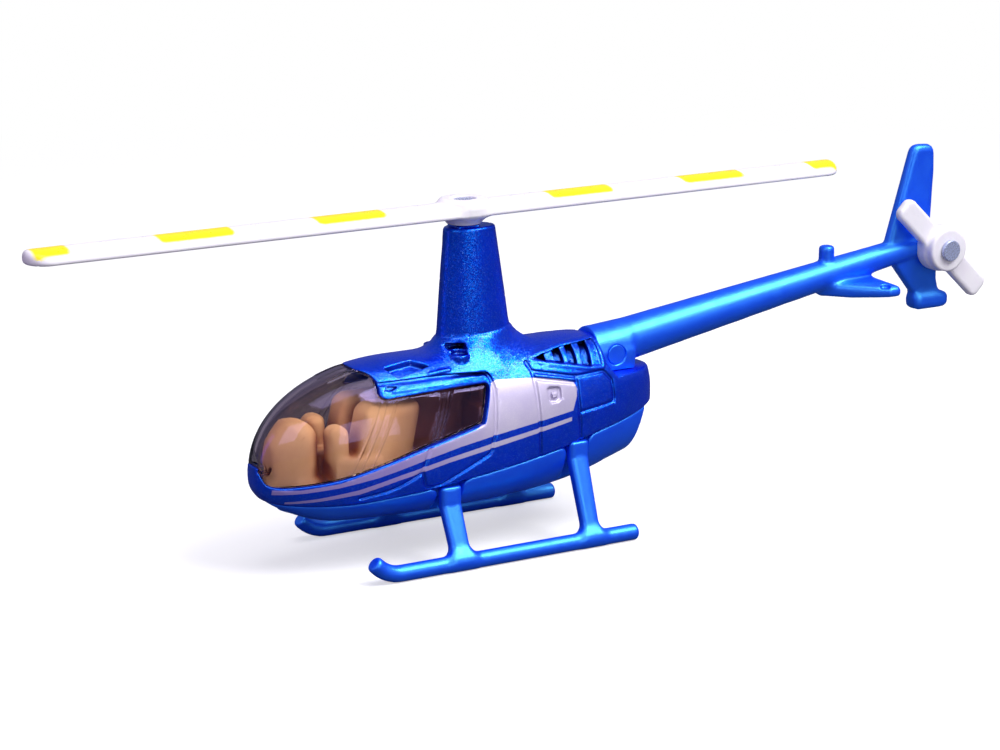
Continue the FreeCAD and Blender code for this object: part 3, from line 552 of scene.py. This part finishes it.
BOOM_Y, BOOM_Z, BOOM_SLOPE = 23.9, 21.0, math.radians(9.1)
BOOM_LENGTH, BOOM_RADIUS, BOOM_TAPER = 38.6, 2.36, 0.0258
BLOCK_HALF = 2.8
FIN_HALF = 0.75
BOOM_PIN_Y, BOOM_PIN_Z = 17.8, 19.55
TAIL_ROTOR_REST = 46.5
UPPER_FIN = rounded([(56.4, 26.0), (60.4, 39.3), (63.5, 39.25), (63.6, 36.0), (63.2, 27.0)], 1.3)
LOWER_FIN = rounded([(57.3, 26.0), (60.95, 21.4), (61.2, 19.6), (65.2, 19.6), (64.4, 22.8), (64.3, 27.4)],
                    0.5)
STUB = rounded([(0, 46.8), (1.6, 48.2), (5.6, 51.7), (6.6, 52.9), (6.7, 54.6), (0, 55.2)], 0.8)


def tail_boom():
    """The plastic tail: root block, tapered boom, fins, foot, aerial peg and left stabiliser stub."""
    block = Block((-3.2, 13.8, 17.2), (7.5, 67.6, 40.2), STEP * 1.6)
    x, y, z = block.x, block.y, block.z
    along = (y - BOOM_Y) * math.cos(BOOM_SLOPE) + (z - BOOM_Z) * math.sin(BOOM_SLOPE)
    above = (z - BOOM_Z) * math.cos(BOOM_SLOPE) - (y - BOOM_Y) * math.sin(BOOM_SLOPE)
    tube = np.hypot(x, above) - (BOOM_RADIUS - BOOM_TAPER * along)
    solid = overlap(tube, along - BOOM_LENGTH, 1.0)
    root = brick(x, y - 16.9, z - 18.8, (BLOCK_HALF, 3.45, 1.25), 0.4)
    crown = np.hypot(x, z - 19.62 - 0.03 * (y - 12.4)) - 2.74
    crown = overlap(crown, y - 20.25, 0.7)
    root = join(root, overlap(crown, 18.6 - z), 0.6)
    solid = join(solid, root, 0.5)
    solid = overlap(solid, outline_distance(NOTCH, y, z) + 0.04, 0.15)
    upper = overlap(outline_distance(UPPER_FIN, y, z), abs(x) - FIN_HALF, 0.8)
    lower = overlap(outline_distance(LOWER_FIN, y, z), abs(x) - FIN_HALF, 0.5)
    foot = brick(x, y - 63.55, z - 20.2, (1.25, 2.5, 0.97), 0.8)
    fins = join(join(upper, lower, 0.3), foot, 0.7)
    axle = np.hypot(y - TAIL_AXLE.y, z - TAIL_AXLE.z)
    fins = join(fins, overlap(axle - 1.75, abs(x - 0.05) - 0.95, 0.2), 0.4)
    solid = join(solid, fins, 0.25)
    peg = overlap(np.hypot(x, y - 48.4) - 0.91, abs(z - 26.15) - 2.2, 0.5)
    solid = join(solid, peg, 0.35)
    edge = outline_distance(STUB, x, y)
    inward = np.clip(-edge / 1.5, 0.0, 1.0)
    top = 23.85 + 0.35 * inward * (2.0 - inward)
    foot_z = 22.45 + 0.1 * np.maximum(x - 3.0, 0.0)
    stub = overlap(edge, np.maximum(z - top, foot_z - z), 0.5)
    dimple = np.hypot(x - 5.75, y - 52.75)
    stub = cut(stub, overlap(dimple - 0.6, 23.75 - z, 0.1), 0.12)
    solid = join(solid, stub, 0.8)
    # The bore for the boom's cross pin, with a fine ring round its mouth.
    pin = np.hypot(y - BOOM_PIN_Y, z - BOOM_PIN_Z)
    solid = cut(solid, np.maximum(np.hypot(pin - 1.15, abs(x) - BLOCK_HALF) - 0.1, -pin + 0.9), 0.06)
    solid = cut(solid, overlap(pin - 1.11, abs(x) - 3.5), 0.05)
    return skin("tail_moulding", block, solid, 0.12)


def turned(axis, degrees):
    """The matrix of a turn about one of the three axes."""
    turn = np.eye(3)
    one, two = [k for k in range(3) if k != axis]
    c, s = math.cos(math.radians(degrees)), math.sin(math.radians(degrees))
    turn[one, one], turn[one, two], turn[two, one], turn[two, two] = c, -s, s, c
    return turn


def tail_rotor():
    """Two short blades and a deep hub. Built upright round its axle, then turned to rest."""
    reach, half, corner = 8.2, 1.45, 0.95
    block = Block((0.9, -3.0, -reach - 0.4), (4.4, 3.0, reach + 0.4), STEP)
    x, y, z = block.x, block.y, block.z
    away = np.hypot(y, z)
    hub = overlap(away - 2.75, abs(x - 1.95) - 0.83, 0.35)
    hub = join(hub, overlap(away - 2.6, abs(x - 2.6) - 1.4, 0.35), 0.3)
    planform = brick(y, z, 0.0, (half, reach, 1.0), corner)
    blade = overlap(planform, abs(x - 2.27) - 0.63, 0.5)
    solid = join(hub, blade, 0.5)
    solid = cut(solid, away - 0.65)
    return skin("tail_rotor_moulding", block, solid, 0.1, turned(0, TAIL_ROTOR_REST),
                (0, TAIL_AXLE.y, TAIL_AXLE.z))


# ---------------------------------------------------------------- main rotor

MAIN_ROTOR_REST = 1.6
ROTOR_RADIUS = 50.0
HUB_FOOT_Z, HUB_TOP_Z = 35.8, 38.6
BLADE_FOOT_Z, BLADE_THICKNESS, TIP_RADIUS = 36.75, 1.5, 2.4
YELLOW_BANDS = ((0.204, 0.366), (0.556, 0.722), (0.914, 0.988))
BAND_EDGE_X = 1.95


def main_rotor():
    """Two blades and their hub, one white moulding."""
    block = Block((-3.4, -ROTOR_RADIUS - 0.4, 35.4), (3.4, ROTOR_RADIUS + 0.4, 39.0), STEP * 1.3)
    x, y, z = block.x, block.y, block.z
    half = 2.65 - 0.005 * abs(y)
    tip = ROTOR_RADIUS - TIP_RADIUS
    planform = np.where(abs(y) > tip, np.hypot(x, abs(y) - tip) - TIP_RADIUS, abs(x) - half)
    crown = BLADE_FOOT_Z + BLADE_THICKNESS - 0.75 * (x / half) ** 2
    blade = overlap(planform, z - crown, 0.8)
    blade = overlap(blade, BLADE_FOOT_Z - z, 0.45)
    away = np.hypot(x, y)
    waist = 2.0 + 1.0 * np.clip((z - HUB_FOOT_Z - 0.25) / 0.9, 0.0, 1.0)
    shoulder = waist - 0.35 * np.clip((z - 37.7) / 0.9, 0.0, 1.0)
    level = abs(z - (HUB_FOOT_Z + HUB_TOP_Z) / 2) - (HUB_TOP_Z - HUB_FOOT_Z) / 2
    hub = overlap((away - shoulder) * 0.85, level, 0.35)
    solid = join(blade, hub, 0.45)
    solid = cut(solid, overlap(away - 1.35, HUB_TOP_Z - 0.75 - z, 0.1), 0.15)
    solid = cut(solid, away - 0.75)
    return skin("rotor_moulding", block, solid, 0.1, turned(2, MAIN_ROTOR_REST),
                marks={"band": band_mark})


def band_mark(x, y, z):
    """Distance into the yellow bands printed on the top of each blade, negative inside."""
    along = abs(y) / ROTOR_RADIUS
    shares = [np.maximum(low - along, along - high) for low, high in YELLOW_BANDS]
    ends = np.min(shares, axis=0) * ROTOR_RADIUS
    edge = x - BAND_EDGE_X
    corner = np.hypot(np.maximum(ends + 0.5, 0), np.maximum(edge + 0.5, 0)) - 0.5
    mark = corner + np.minimum(np.maximum(ends + 0.5, edge + 0.5), 0)
    return np.where(z > BLADE_FOOT_Z + 0.45, mark, 1.0)


# ---------------------------------------------------------------- materials

FLAKE_SCALE, FLAKE_TILT = 13000.0, 0.24


class Nodes:
    """A short way to write node trees. Inputs are named, with _ for each space, or numbered as i0, i1 ..."""

    def __init__(self, tree):
        self.tree = tree
        tree.nodes.clear()

    def add(self, kind, settings=None, **inputs):
        node = self.tree.nodes.new(kind)
        for key, value in (settings or {}).items():
            setattr(node, key, value)
        for key, value in inputs.items():
            numbered = key[0] == "i" and key[1:].isdigit()
            self.put(node, int(key[1:]) if numbered else key.replace("_", " "), value)
        return node

    def put(self, node, key, value):
        if isinstance(value, bpy.types.NodeSocket):
            self.tree.links.new(value, node.inputs[key])
        else:
            node.inputs[key].default_value = value

    def math(self, operation, a, b=0.0, clamp=False):
        return self.add("ShaderNodeMath", {"operation": operation, "use_clamp": clamp}, i0=a, i1=b).outputs[0]

    def vector(self, operation, a, b=(0.0, 0.0, 0.0), **inputs):
        return self.add("ShaderNodeVectorMath", {"operation": operation}, i0=a, i1=b, **inputs).outputs[0]

    def mix(self, share, a, b):
        return self.add("ShaderNodeMix", {"data_type": "RGBA"}, i0=share, i6=a, i7=b).outputs[2]

    def ramp(self, value, low, high, to_low=0.0, to_high=1.0):
        node = self.add("ShaderNodeMapRange", None, i0=value, i1=low, i2=high, i3=to_low, i4=to_high)
        return node.outputs[0]

    def shade(self, reach):
        """How open a point is within reach in millimetres: 0 deep in a recess, 1 in the open. The finishes
        use it to paint shade into recesses.
        """
        node = self.add("ShaderNodeAmbientOcclusion", {"samples": 6, "only_local": True}, Distance=reach * MM)
        return self.ramp(node.outputs["AO"], 0.4, 0.9)

    def principled(self, **inputs):
        return self.add("ShaderNodeBsdfPrincipled", None, **inputs).outputs[0]

    def glossy(self, **inputs):
        return self.add("ShaderNodeBsdfAnisotropic", None, **inputs).outputs[0]

    def blend_shaders(self, share, a, b):
        return self.add("ShaderNodeMixShader", None, i0=share, i1=a, i2=b).outputs[0]

    def place(self):
        return self.add("ShaderNodeTexCoord").outputs["Object"]

    def noise(self, scale, detail=3.0):
        node = self.add("ShaderNodeTexNoise", None, Vector=self.place(), Scale=scale, Detail=detail)
        self.put(node, "Roughness", 0.55)
        return node.outputs[0]

    def uneven(self, scale, detail, low, high, to_low=0.0, to_high=1.0):
        """Noise between low and high, spread to the range from to_low to to_high."""
        return self.ramp(self.noise(scale, detail), low, high, to_low, to_high)

    def bump(self, strength, distance, scale, detail):
        """A normal with fine unevenness of the given depth in metres."""
        height = self.noise(scale, detail)
        node = self.add("ShaderNodeBump", None, Strength=strength, Distance=distance, Height=height)
        return node.outputs[0]

    def place_from_mast(self):
        """The shaded point as x, y and z in millimetres from the mast."""
        parts = self.add("ShaderNodeSeparateXYZ", None, Vector=self.place()).outputs
        shifted = [self.math("SUBTRACT", part, start) for part, start in zip(parts, MAST)]
        return [self.math("DIVIDE", part, MM) for part in shifted]

    def between(self, y, z, top, foot):
        """Distance out of the strip between two edges that give z at y, negative inside."""
        above = self.math("SUBTRACT", z, self.edge(y, top))
        below = self.math("SUBTRACT", self.edge(y, foot), z)
        return self.largest(above, below)

    def edge(self, value, points):
        """A height that follows points given as (value, height)."""
        (low, high), (foot, top) = ((min(part), max(part)) for part in zip(*points))
        node = self.add("ShaderNodeFloatCurve", None, Value=self.ramp(value, low, high))
        curve = node.mapping.curves[0]
        while len(curve.points) < len(points):
            curve.points.new(0.5, 0.5)
        for point, (at, height) in zip(curve.points, points):
            point.location = ((at - low) / (high - low), (height - foot) / (top - foot))
            point.handle_type = "VECTOR"
        node.mapping.update()
        return self.ramp(node.outputs[0], 0.0, 1.0, foot, top)

    def largest(self, *values):
        result = values[0]
        for value in values[1:]:
            result = self.math("MAXIMUM", result, value)
        return result

    def cells(self, scale):
        return self.add("ShaderNodeTexVoronoi", {"feature": "F1"}, Vector=self.place(), Scale=scale)

    def finish(self, shader):
        output = self.add("ShaderNodeOutputMaterial")
        self.tree.links.new(shader, output.inputs["Surface"])


def material(name):
    """A new material and its empty node tree."""
    made = bpy.data.materials.new(name)
    made.use_nodes = True
    return made, Nodes(made.node_tree)


def colour(red, green, blue):
    """A colour given as 0 to 255 screen values, as the shader's linear values."""
    parts = [value / 255 for value in (red, green, blue)]
    return tuple(v / 12.92 if v <= 0.04045 else ((v + 0.055) / 1.055) ** 2.4 for v in parts) + (1.0,)


def flake_paint():
    """Deep blue metallic lacquer with fine flakes and painted shade in its recesses, under the printed panel
    and stripe.
    """
    made, n = material("flake_blue_paint")
    flakes = n.cells(FLAKE_SCALE)
    lot = n.add("ShaderNodeSeparateColor", None, Color=flakes.outputs["Color"])
    spark = n.ramp(lot.outputs[0], 0.8, 1.0)
    base = n.mix(n.uneven(420.0, 4.0, 0.35, 0.7), colour(0, 0, 214), colour(0, 6, 236))
    base = n.mix(n.math("MULTIPLY", spark, 0.2), base, colour(60, 120, 255))
    sheen = n.mix(n.math("MULTIPLY", spark, 0.7), (0.0, 0.36, 1.0, 1.0), (0.4, 0.75, 1.0, 1.0))
    # Painted shade: base and sheen turn near-black blue deep in recesses such as grooves, louvre slots and
    # hatches.
    base, sheen = (n.mix(n.shade(1.2), colour(0, 0, 50), part) for part in (base, sheen))
    # Each flake lies at its own small angle.
    tilt = n.vector("SUBTRACT", flakes.outputs["Color"], (0.5, 0.5, 0.5))
    tilt = n.vector("SCALE", tilt, Scale=FLAKE_TILT)
    normal = n.vector("ADD", n.add("ShaderNodeNewGeometry").outputs["Normal"], tilt)
    normal = n.vector("NORMALIZE", normal)
    clear_coat = n.bump(0.06, 0.0002, 700.0, 2.0)
    deep = n.principled(Base_Color=base, Metallic=0.6, Roughness=0.4, Normal=normal,
                        Specular_IOR_Level=0.1, Coat_Weight=0.3, Coat_Roughness=0.06, Coat_Normal=clear_coat)
    glitter = n.glossy(Color=sheen, Roughness=0.26, Normal=normal)
    paint = n.blend_shaders(0.3, deep, glitter)

    x, y, z = n.place_from_mast()
    slant = n.math("MULTIPLY", n.math("ABSOLUTE", n.math("SUBTRACT", z, PANEL_REAR_Z)), PANEL_REAR_SLANT)
    rear = n.math("ADD", n.math("SUBTRACT", y, PANEL_REAR_Y), slant)
    front = n.math("SUBTRACT", PANEL_FRONT_Y, y)
    panel = n.largest(n.between(y, z, PANEL_TOP, PANEL_FOOT), front, rear)
    rear = n.math("SUBTRACT", y, STRIPE_REAR_Y)
    front = n.math("SUBTRACT", STRIPE_FRONT_Y, y)
    stripe = n.largest(n.between(y, z, STRIPE_TOP, STRIPE_FOOT), front, rear)
    inboard = n.math("SUBTRACT", 1.6, n.math("ABSOLUTE", x))
    wobble = n.math("MULTIPLY", n.math("SUBTRACT", n.noise(2600.0, 2.0), 0.5), 0.05)
    ink_edge = n.math("ADD", n.math("MAXIMUM", n.math("MINIMUM", panel, stripe), inboard), wobble)
    speck = n.ramp(n.cells(5200.0).outputs["Distance"], 0.0, 0.5)
    ink = n.mix(n.uneven(300.0, 5.0, 0.3, 0.7), colour(200, 190, 222), colour(218, 210, 230))
    ink = n.mix(n.ramp(y, 0.0, -12.0), ink, colour(158, 136, 212))
    ink = n.mix(n.math("MULTIPLY", speck, 0.25), ink, colour(178, 170, 214))
    printed = n.principled(Base_Color=ink, Metallic=0.35, Roughness=0.38,
                           Coat_Weight=0.3, Coat_Roughness=0.08, Coat_Normal=clear_coat)
    n.finish(n.blend_shaders(n.ramp(ink_edge, 0.03, -0.03), paint, printed))
    return made


def pearl_plastic():
    """Azure plastic with a fine pearl sheen and slightly uneven gloss."""
    made, n = material("azure_plastic")
    base = n.mix(n.uneven(260.0, 5.0, 0.3, 0.7), colour(0, 46, 246), colour(0, 58, 255))
    speck = n.ramp(n.cells(7000.0).outputs["Distance"], 0.12, 0.0)
    base = n.mix(n.math("MULTIPLY", speck, 0.6), base, colour(120, 200, 255))
    bump = n.bump(0.12, 0.0001, 5200.0, 3.0)
    rough = n.uneven(900.0, 4.0, 0.3, 0.7, 0.34, 0.44)
    deep = n.principled(Base_Color=base, Roughness=rough, Normal=bump, Specular_IOR_Level=0.15)
    pearl = n.glossy(Color=(0.1, 0.62, 1.0, 1.0), Roughness=rough, Normal=bump)
    n.finish(n.blend_shaders(0.36, deep, pearl))
    return made


def white_plastic(banded):
    """Glossy white moulding, faintly lilac in depth. The main rotor also carries printed yellow bands."""
    made, n = material("white_plastic")
    base = n.mix(n.uneven(180.0, 4.0, 0.3, 0.7), colour(236, 232, 240), colour(246, 243, 248))
    rough = n.uneven(1400.0, 4.0, 0.3, 0.7, 0.26, 0.36)
    if banded:
        band = n.add("ShaderNodeAttribute", {"attribute_name": "band"}).outputs["Fac"]
        wobble = n.math("MULTIPLY", n.math("SUBTRACT", n.noise(1500.0, 3.0), 0.5), 0.14)
        share = n.ramp(n.math("ADD", band, wobble), 0.16, -0.16)
        ink = n.mix(n.uneven(800.0, 5.0, 0.3, 0.7), colour(255, 222, 0), colour(255, 236, 10))
        base = n.mix(share, base, ink)
    n.finish(n.principled(Base_Color=base, Roughness=rough, Normal=n.bump(0.1, 0.0001, 3600.0, 3.0),
                          Subsurface_Weight=0.12, Subsurface_Radius=(0.0012, 0.001, 0.0013),
                          Subsurface_Scale=1.0))
    return made


def tan_plastic():
    """Tan moulding, with painted shade that browns it in its recesses and a painted shadow that darkens it
    towards the rear bench, where the roof shades the cabin.
    """
    made, n = material("tan_plastic")
    base = n.mix(n.uneven(200.0, 4.0, 0.3, 0.7), colour(232, 194, 142), colour(246, 214, 166))
    y = n.place_from_mast()[1]
    # Painted shade: the tan turns brown deep in recesses.
    base = n.mix(n.shade(2.2), colour(150, 84, 44), base)
    # Painted shadow: the tan darkens to dark brown towards the rear bench, where the roof shades the cabin.
    base = n.mix(n.ramp(y, -12.0, -7.5), base, colour(96, 54, 44))
    n.finish(n.principled(Base_Color=base, Roughness=0.55, Normal=n.bump(0.2, 0.0001, 3000.0, 4.0)))
    return made


def tinted_glass():
    """Smoke-brown clear plastic: a thin pane that tints what is behind it and darkens at its edges."""
    made, n = material("tinted_glass")
    tint = n.mix(n.uneven(90.0, 3.0, 0.3, 0.7), colour(226, 212, 208), colour(236, 222, 216))
    facing = n.add("ShaderNodeLayerWeight", None, Blend=0.5).outputs["Facing"]
    tint = n.mix(n.ramp(facing, 0.3, 0.7), tint, colour(68, 60, 118))
    rough = n.uneven(1500.0, 3.0, 0.4, 0.7, 0.01, 0.05)
    pane = n.principled(Base_Color=tint, Roughness=rough, Normal=n.bump(0.08, 0.0002, 240.0, 2.0),
                        IOR=1.46, Specular_IOR_Level=0.4, Specular_Tint=(0.55, 0.48, 1.0, 1.0),
                        Transmission_Weight=1.0)
    # Light passes straight through the pane to the cabin, tinted.
    clear = n.add("ShaderNodeBsdfTransparent", None, Color=tint).outputs[0]
    shadow = n.add("ShaderNodeLightPath").outputs["Is Shadow Ray"]
    n.finish(n.blend_shaders(shadow, pane, clear))
    return made


def steel():
    """Bright steel with a fine mottle of colour and roughness."""
    made, n = material("bright_steel")
    base = n.mix(n.uneven(6400.0, 3.0, 0.3, 0.7), colour(182, 192, 226), colour(188, 198, 230))
    rough = n.uneven(5200.0, 3.0, 0.3, 0.7, 0.2, 0.34)
    n.finish(n.principled(Base_Color=base, Metallic=0.55, Roughness=rough))
    return made


def dress(piece, body, slot, finish, *nodes):
    """Gives a new piece its finish and its CAD body, and hides the CAD nodes that it stands for."""
    piece.data.materials.append(finish)
    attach(piece, body)
    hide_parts(*nodes)


def carry_over(node, finish):
    """A CAD node whose shape is right keeps its mesh and gets a detailed finish."""
    piece = frame["nodes"][node]
    piece.data.materials.clear()
    piece.data.materials.append(finish)


azure = pearl_plastic()
bright_steel = steel()
dress(body_shell(), "airframe", "flake_blue_paint", flake_paint(), "body_shell")
dress(canopy(), "airframe", "tinted_glass", tinted_glass(), "canopy")
dress(cabin(), "airframe", "tan_plastic", tan_plastic(), "cabin_interior")
dress(belly(), "airframe", "azure_plastic", azure, "belly_pan")
dress(skid_gear(), "airframe", "azure_plastic", azure, "skid_gear")
dress(tail_boom(), "airframe", "azure_plastic", azure, "tail_boom")
dress(main_rotor(), "main_rotor_disc", "white_plastic", white_plastic(banded=True), "main_rotor")
dress(tail_rotor(), "tail_rotor_disc", "white_plastic", white_plastic(banded=False), "tail_rotor")
carry_over("boom_pin", azure)
for pin in ("rotor_pin", "tail_pin", "belly_rivets"):
    carry_over(pin, bright_steel)


# ---------------------------------------------------------------- stage, light and camera

# Metres from the middle of the model where the floor starts and ends its fade to plain white.
FADE_START, FADE_END = 0.06, 0.3


def stage_floor():
    """A pale floor that keeps the model's soft shadow and fades to plain white away from it."""
    made, n = material("pale_floor")
    base = n.mix(n.uneven(30.0, 3.0, 0.3, 0.7), (0.6, 0.6, 0.61, 1), (0.62, 0.62, 0.625, 1))
    away = n.add("ShaderNodeVectorMath", {"operation": "LENGTH"}, i0=n.place()).outputs["Value"]
    seen = n.add("ShaderNodeLightPath").outputs["Is Camera Ray"]
    base = n.mix(n.ramp(away, FADE_START, FADE_END), base, (0.0, 0.0, 0.0, 1))
    base = n.mix(seen, (0.1, 0.1, 0.12, 1), base)
    glow = n.math("MULTIPLY", seen, n.ramp(away, FADE_START, FADE_END, 0.55, 1.0))
    n.finish(n.principled(Base_Color=base, Roughness=0.9, Specular_IOR_Level=0.0,
                          Emission_Color=(1.0, 1.0, 1.0, 1.0), Emission_Strength=glow))
    half = 3.0
    corners = [(-half, -half, 0), (half, -half, 0), (half, half, 0), (-half, half, 0)]
    mesh = bpy.data.meshes.new("stage_floor")
    mesh.from_pydata(corners, [], [(0, 1, 2, 3)])
    floor = bpy.data.objects.new("stage_floor", mesh)
    floor.location.z = cad_low.z
    mesh.materials.append(made)
    bpy.context.scene.collection.objects.link(floor)


def direction(azimuth, elevation):
    """The direction from the model towards a place: azimuth 0 is ahead of the nose, 90 is to the left."""
    a, e = math.radians(azimuth), math.radians(elevation)
    return Vector((math.sin(a) * math.cos(e), -math.cos(a) * math.cos(e), math.sin(e)))


def softbox(name, azimuth, elevation, distance, width, height, power, tint=(1, 1, 1)):
    """A rectangular lamp that faces the middle of the model."""
    lamp = bpy.data.lights.new(name, "AREA")
    lamp.shape = "RECTANGLE"
    lamp.size, lamp.size_y = width, height
    lamp.energy = power
    lamp.color = tint
    box = bpy.data.objects.new(name, lamp)
    away = direction(azimuth, elevation)
    box.location = (cad_low + cad_high) / 2 + away * distance
    box.rotation_euler = (-away).to_track_quat("-Z", "Y").to_euler()
    bpy.context.scene.collection.objects.link(box)


def light():
    """White surroundings for the camera, a faint lilac fill for everything else, and five lamps."""
    world = bpy.data.worlds.new("studio")
    world.use_nodes = True
    n = Nodes(world.node_tree)
    seen = n.add("ShaderNodeLightPath").outputs["Is Camera Ray"]
    backdrop = n.add("ShaderNodeBackground", None, Color=(1.0, 1.0, 1.0, 1)).outputs[0]
    fill = n.add("ShaderNodeBackground", None, Color=(0.8, 0.74, 1.0, 1), Strength=0.34).outputs[0]
    output = n.add("ShaderNodeOutputWorld")
    n.put(output, "Surface", n.blend_shaders(seen, fill, backdrop))
    bpy.context.scene.world = world
    softbox("top_box", 100, 80, 0.45, 0.42, 0.3, 1.0)
    softbox("key_box", 128, 50, 0.42, 0.26, 0.2, 1.6)
    softbox("front_box", 35, 30, 0.5, 0.2, 0.2, 0.3)
    softbox("side_box", 95, 14, 0.6, 0.3, 0.2, 0.48)
    softbox("violet_box", 352, 14, 0.5, 0.1, 0.3, 0.2, (0.55, 0.2, 1.0))


CAMERA_LENS = 94.29
CAMERA_DISTANCE = 289.067
CAMERA_AZIMUTH, CAMERA_ELEVATION, CAMERA_ROLL = 60.809, 14.27, -0.288
CAMERA_TARGET = (0.0, 4.395, 18.313)


def set_camera():
    """The camera looks at its target from its azimuth and elevation, turned a little about its own axis."""
    data = bpy.data.cameras.new("camera")
    data.lens = CAMERA_LENS
    data.sensor_width = 36.0
    data.clip_start, data.clip_end = 0.01, 20.0
    camera = bpy.data.objects.new("camera", data)
    a, r = math.radians(CAMERA_AZIMUTH), math.radians(CAMERA_ROLL)
    back = direction(CAMERA_AZIMUTH, CAMERA_ELEVATION)
    right = Vector((math.cos(a), math.sin(a), 0.0))
    up = back.cross(right)
    right, up = right * math.cos(r) + up * math.sin(r), up * math.cos(r) - right * math.sin(r)
    turn = Matrix((right, up, back)).transposed()
    place = MAST + (Vector(CAMERA_TARGET) + back * CAMERA_DISTANCE) * MM
    camera.matrix_world = Matrix.LocRotScale(place, turn, None)
    bpy.context.scene.collection.objects.link(camera)
    bpy.context.scene.camera = camera


stage_floor()
light()
set_camera()
bpy.context.scene.view_settings.view_transform = "Standard"
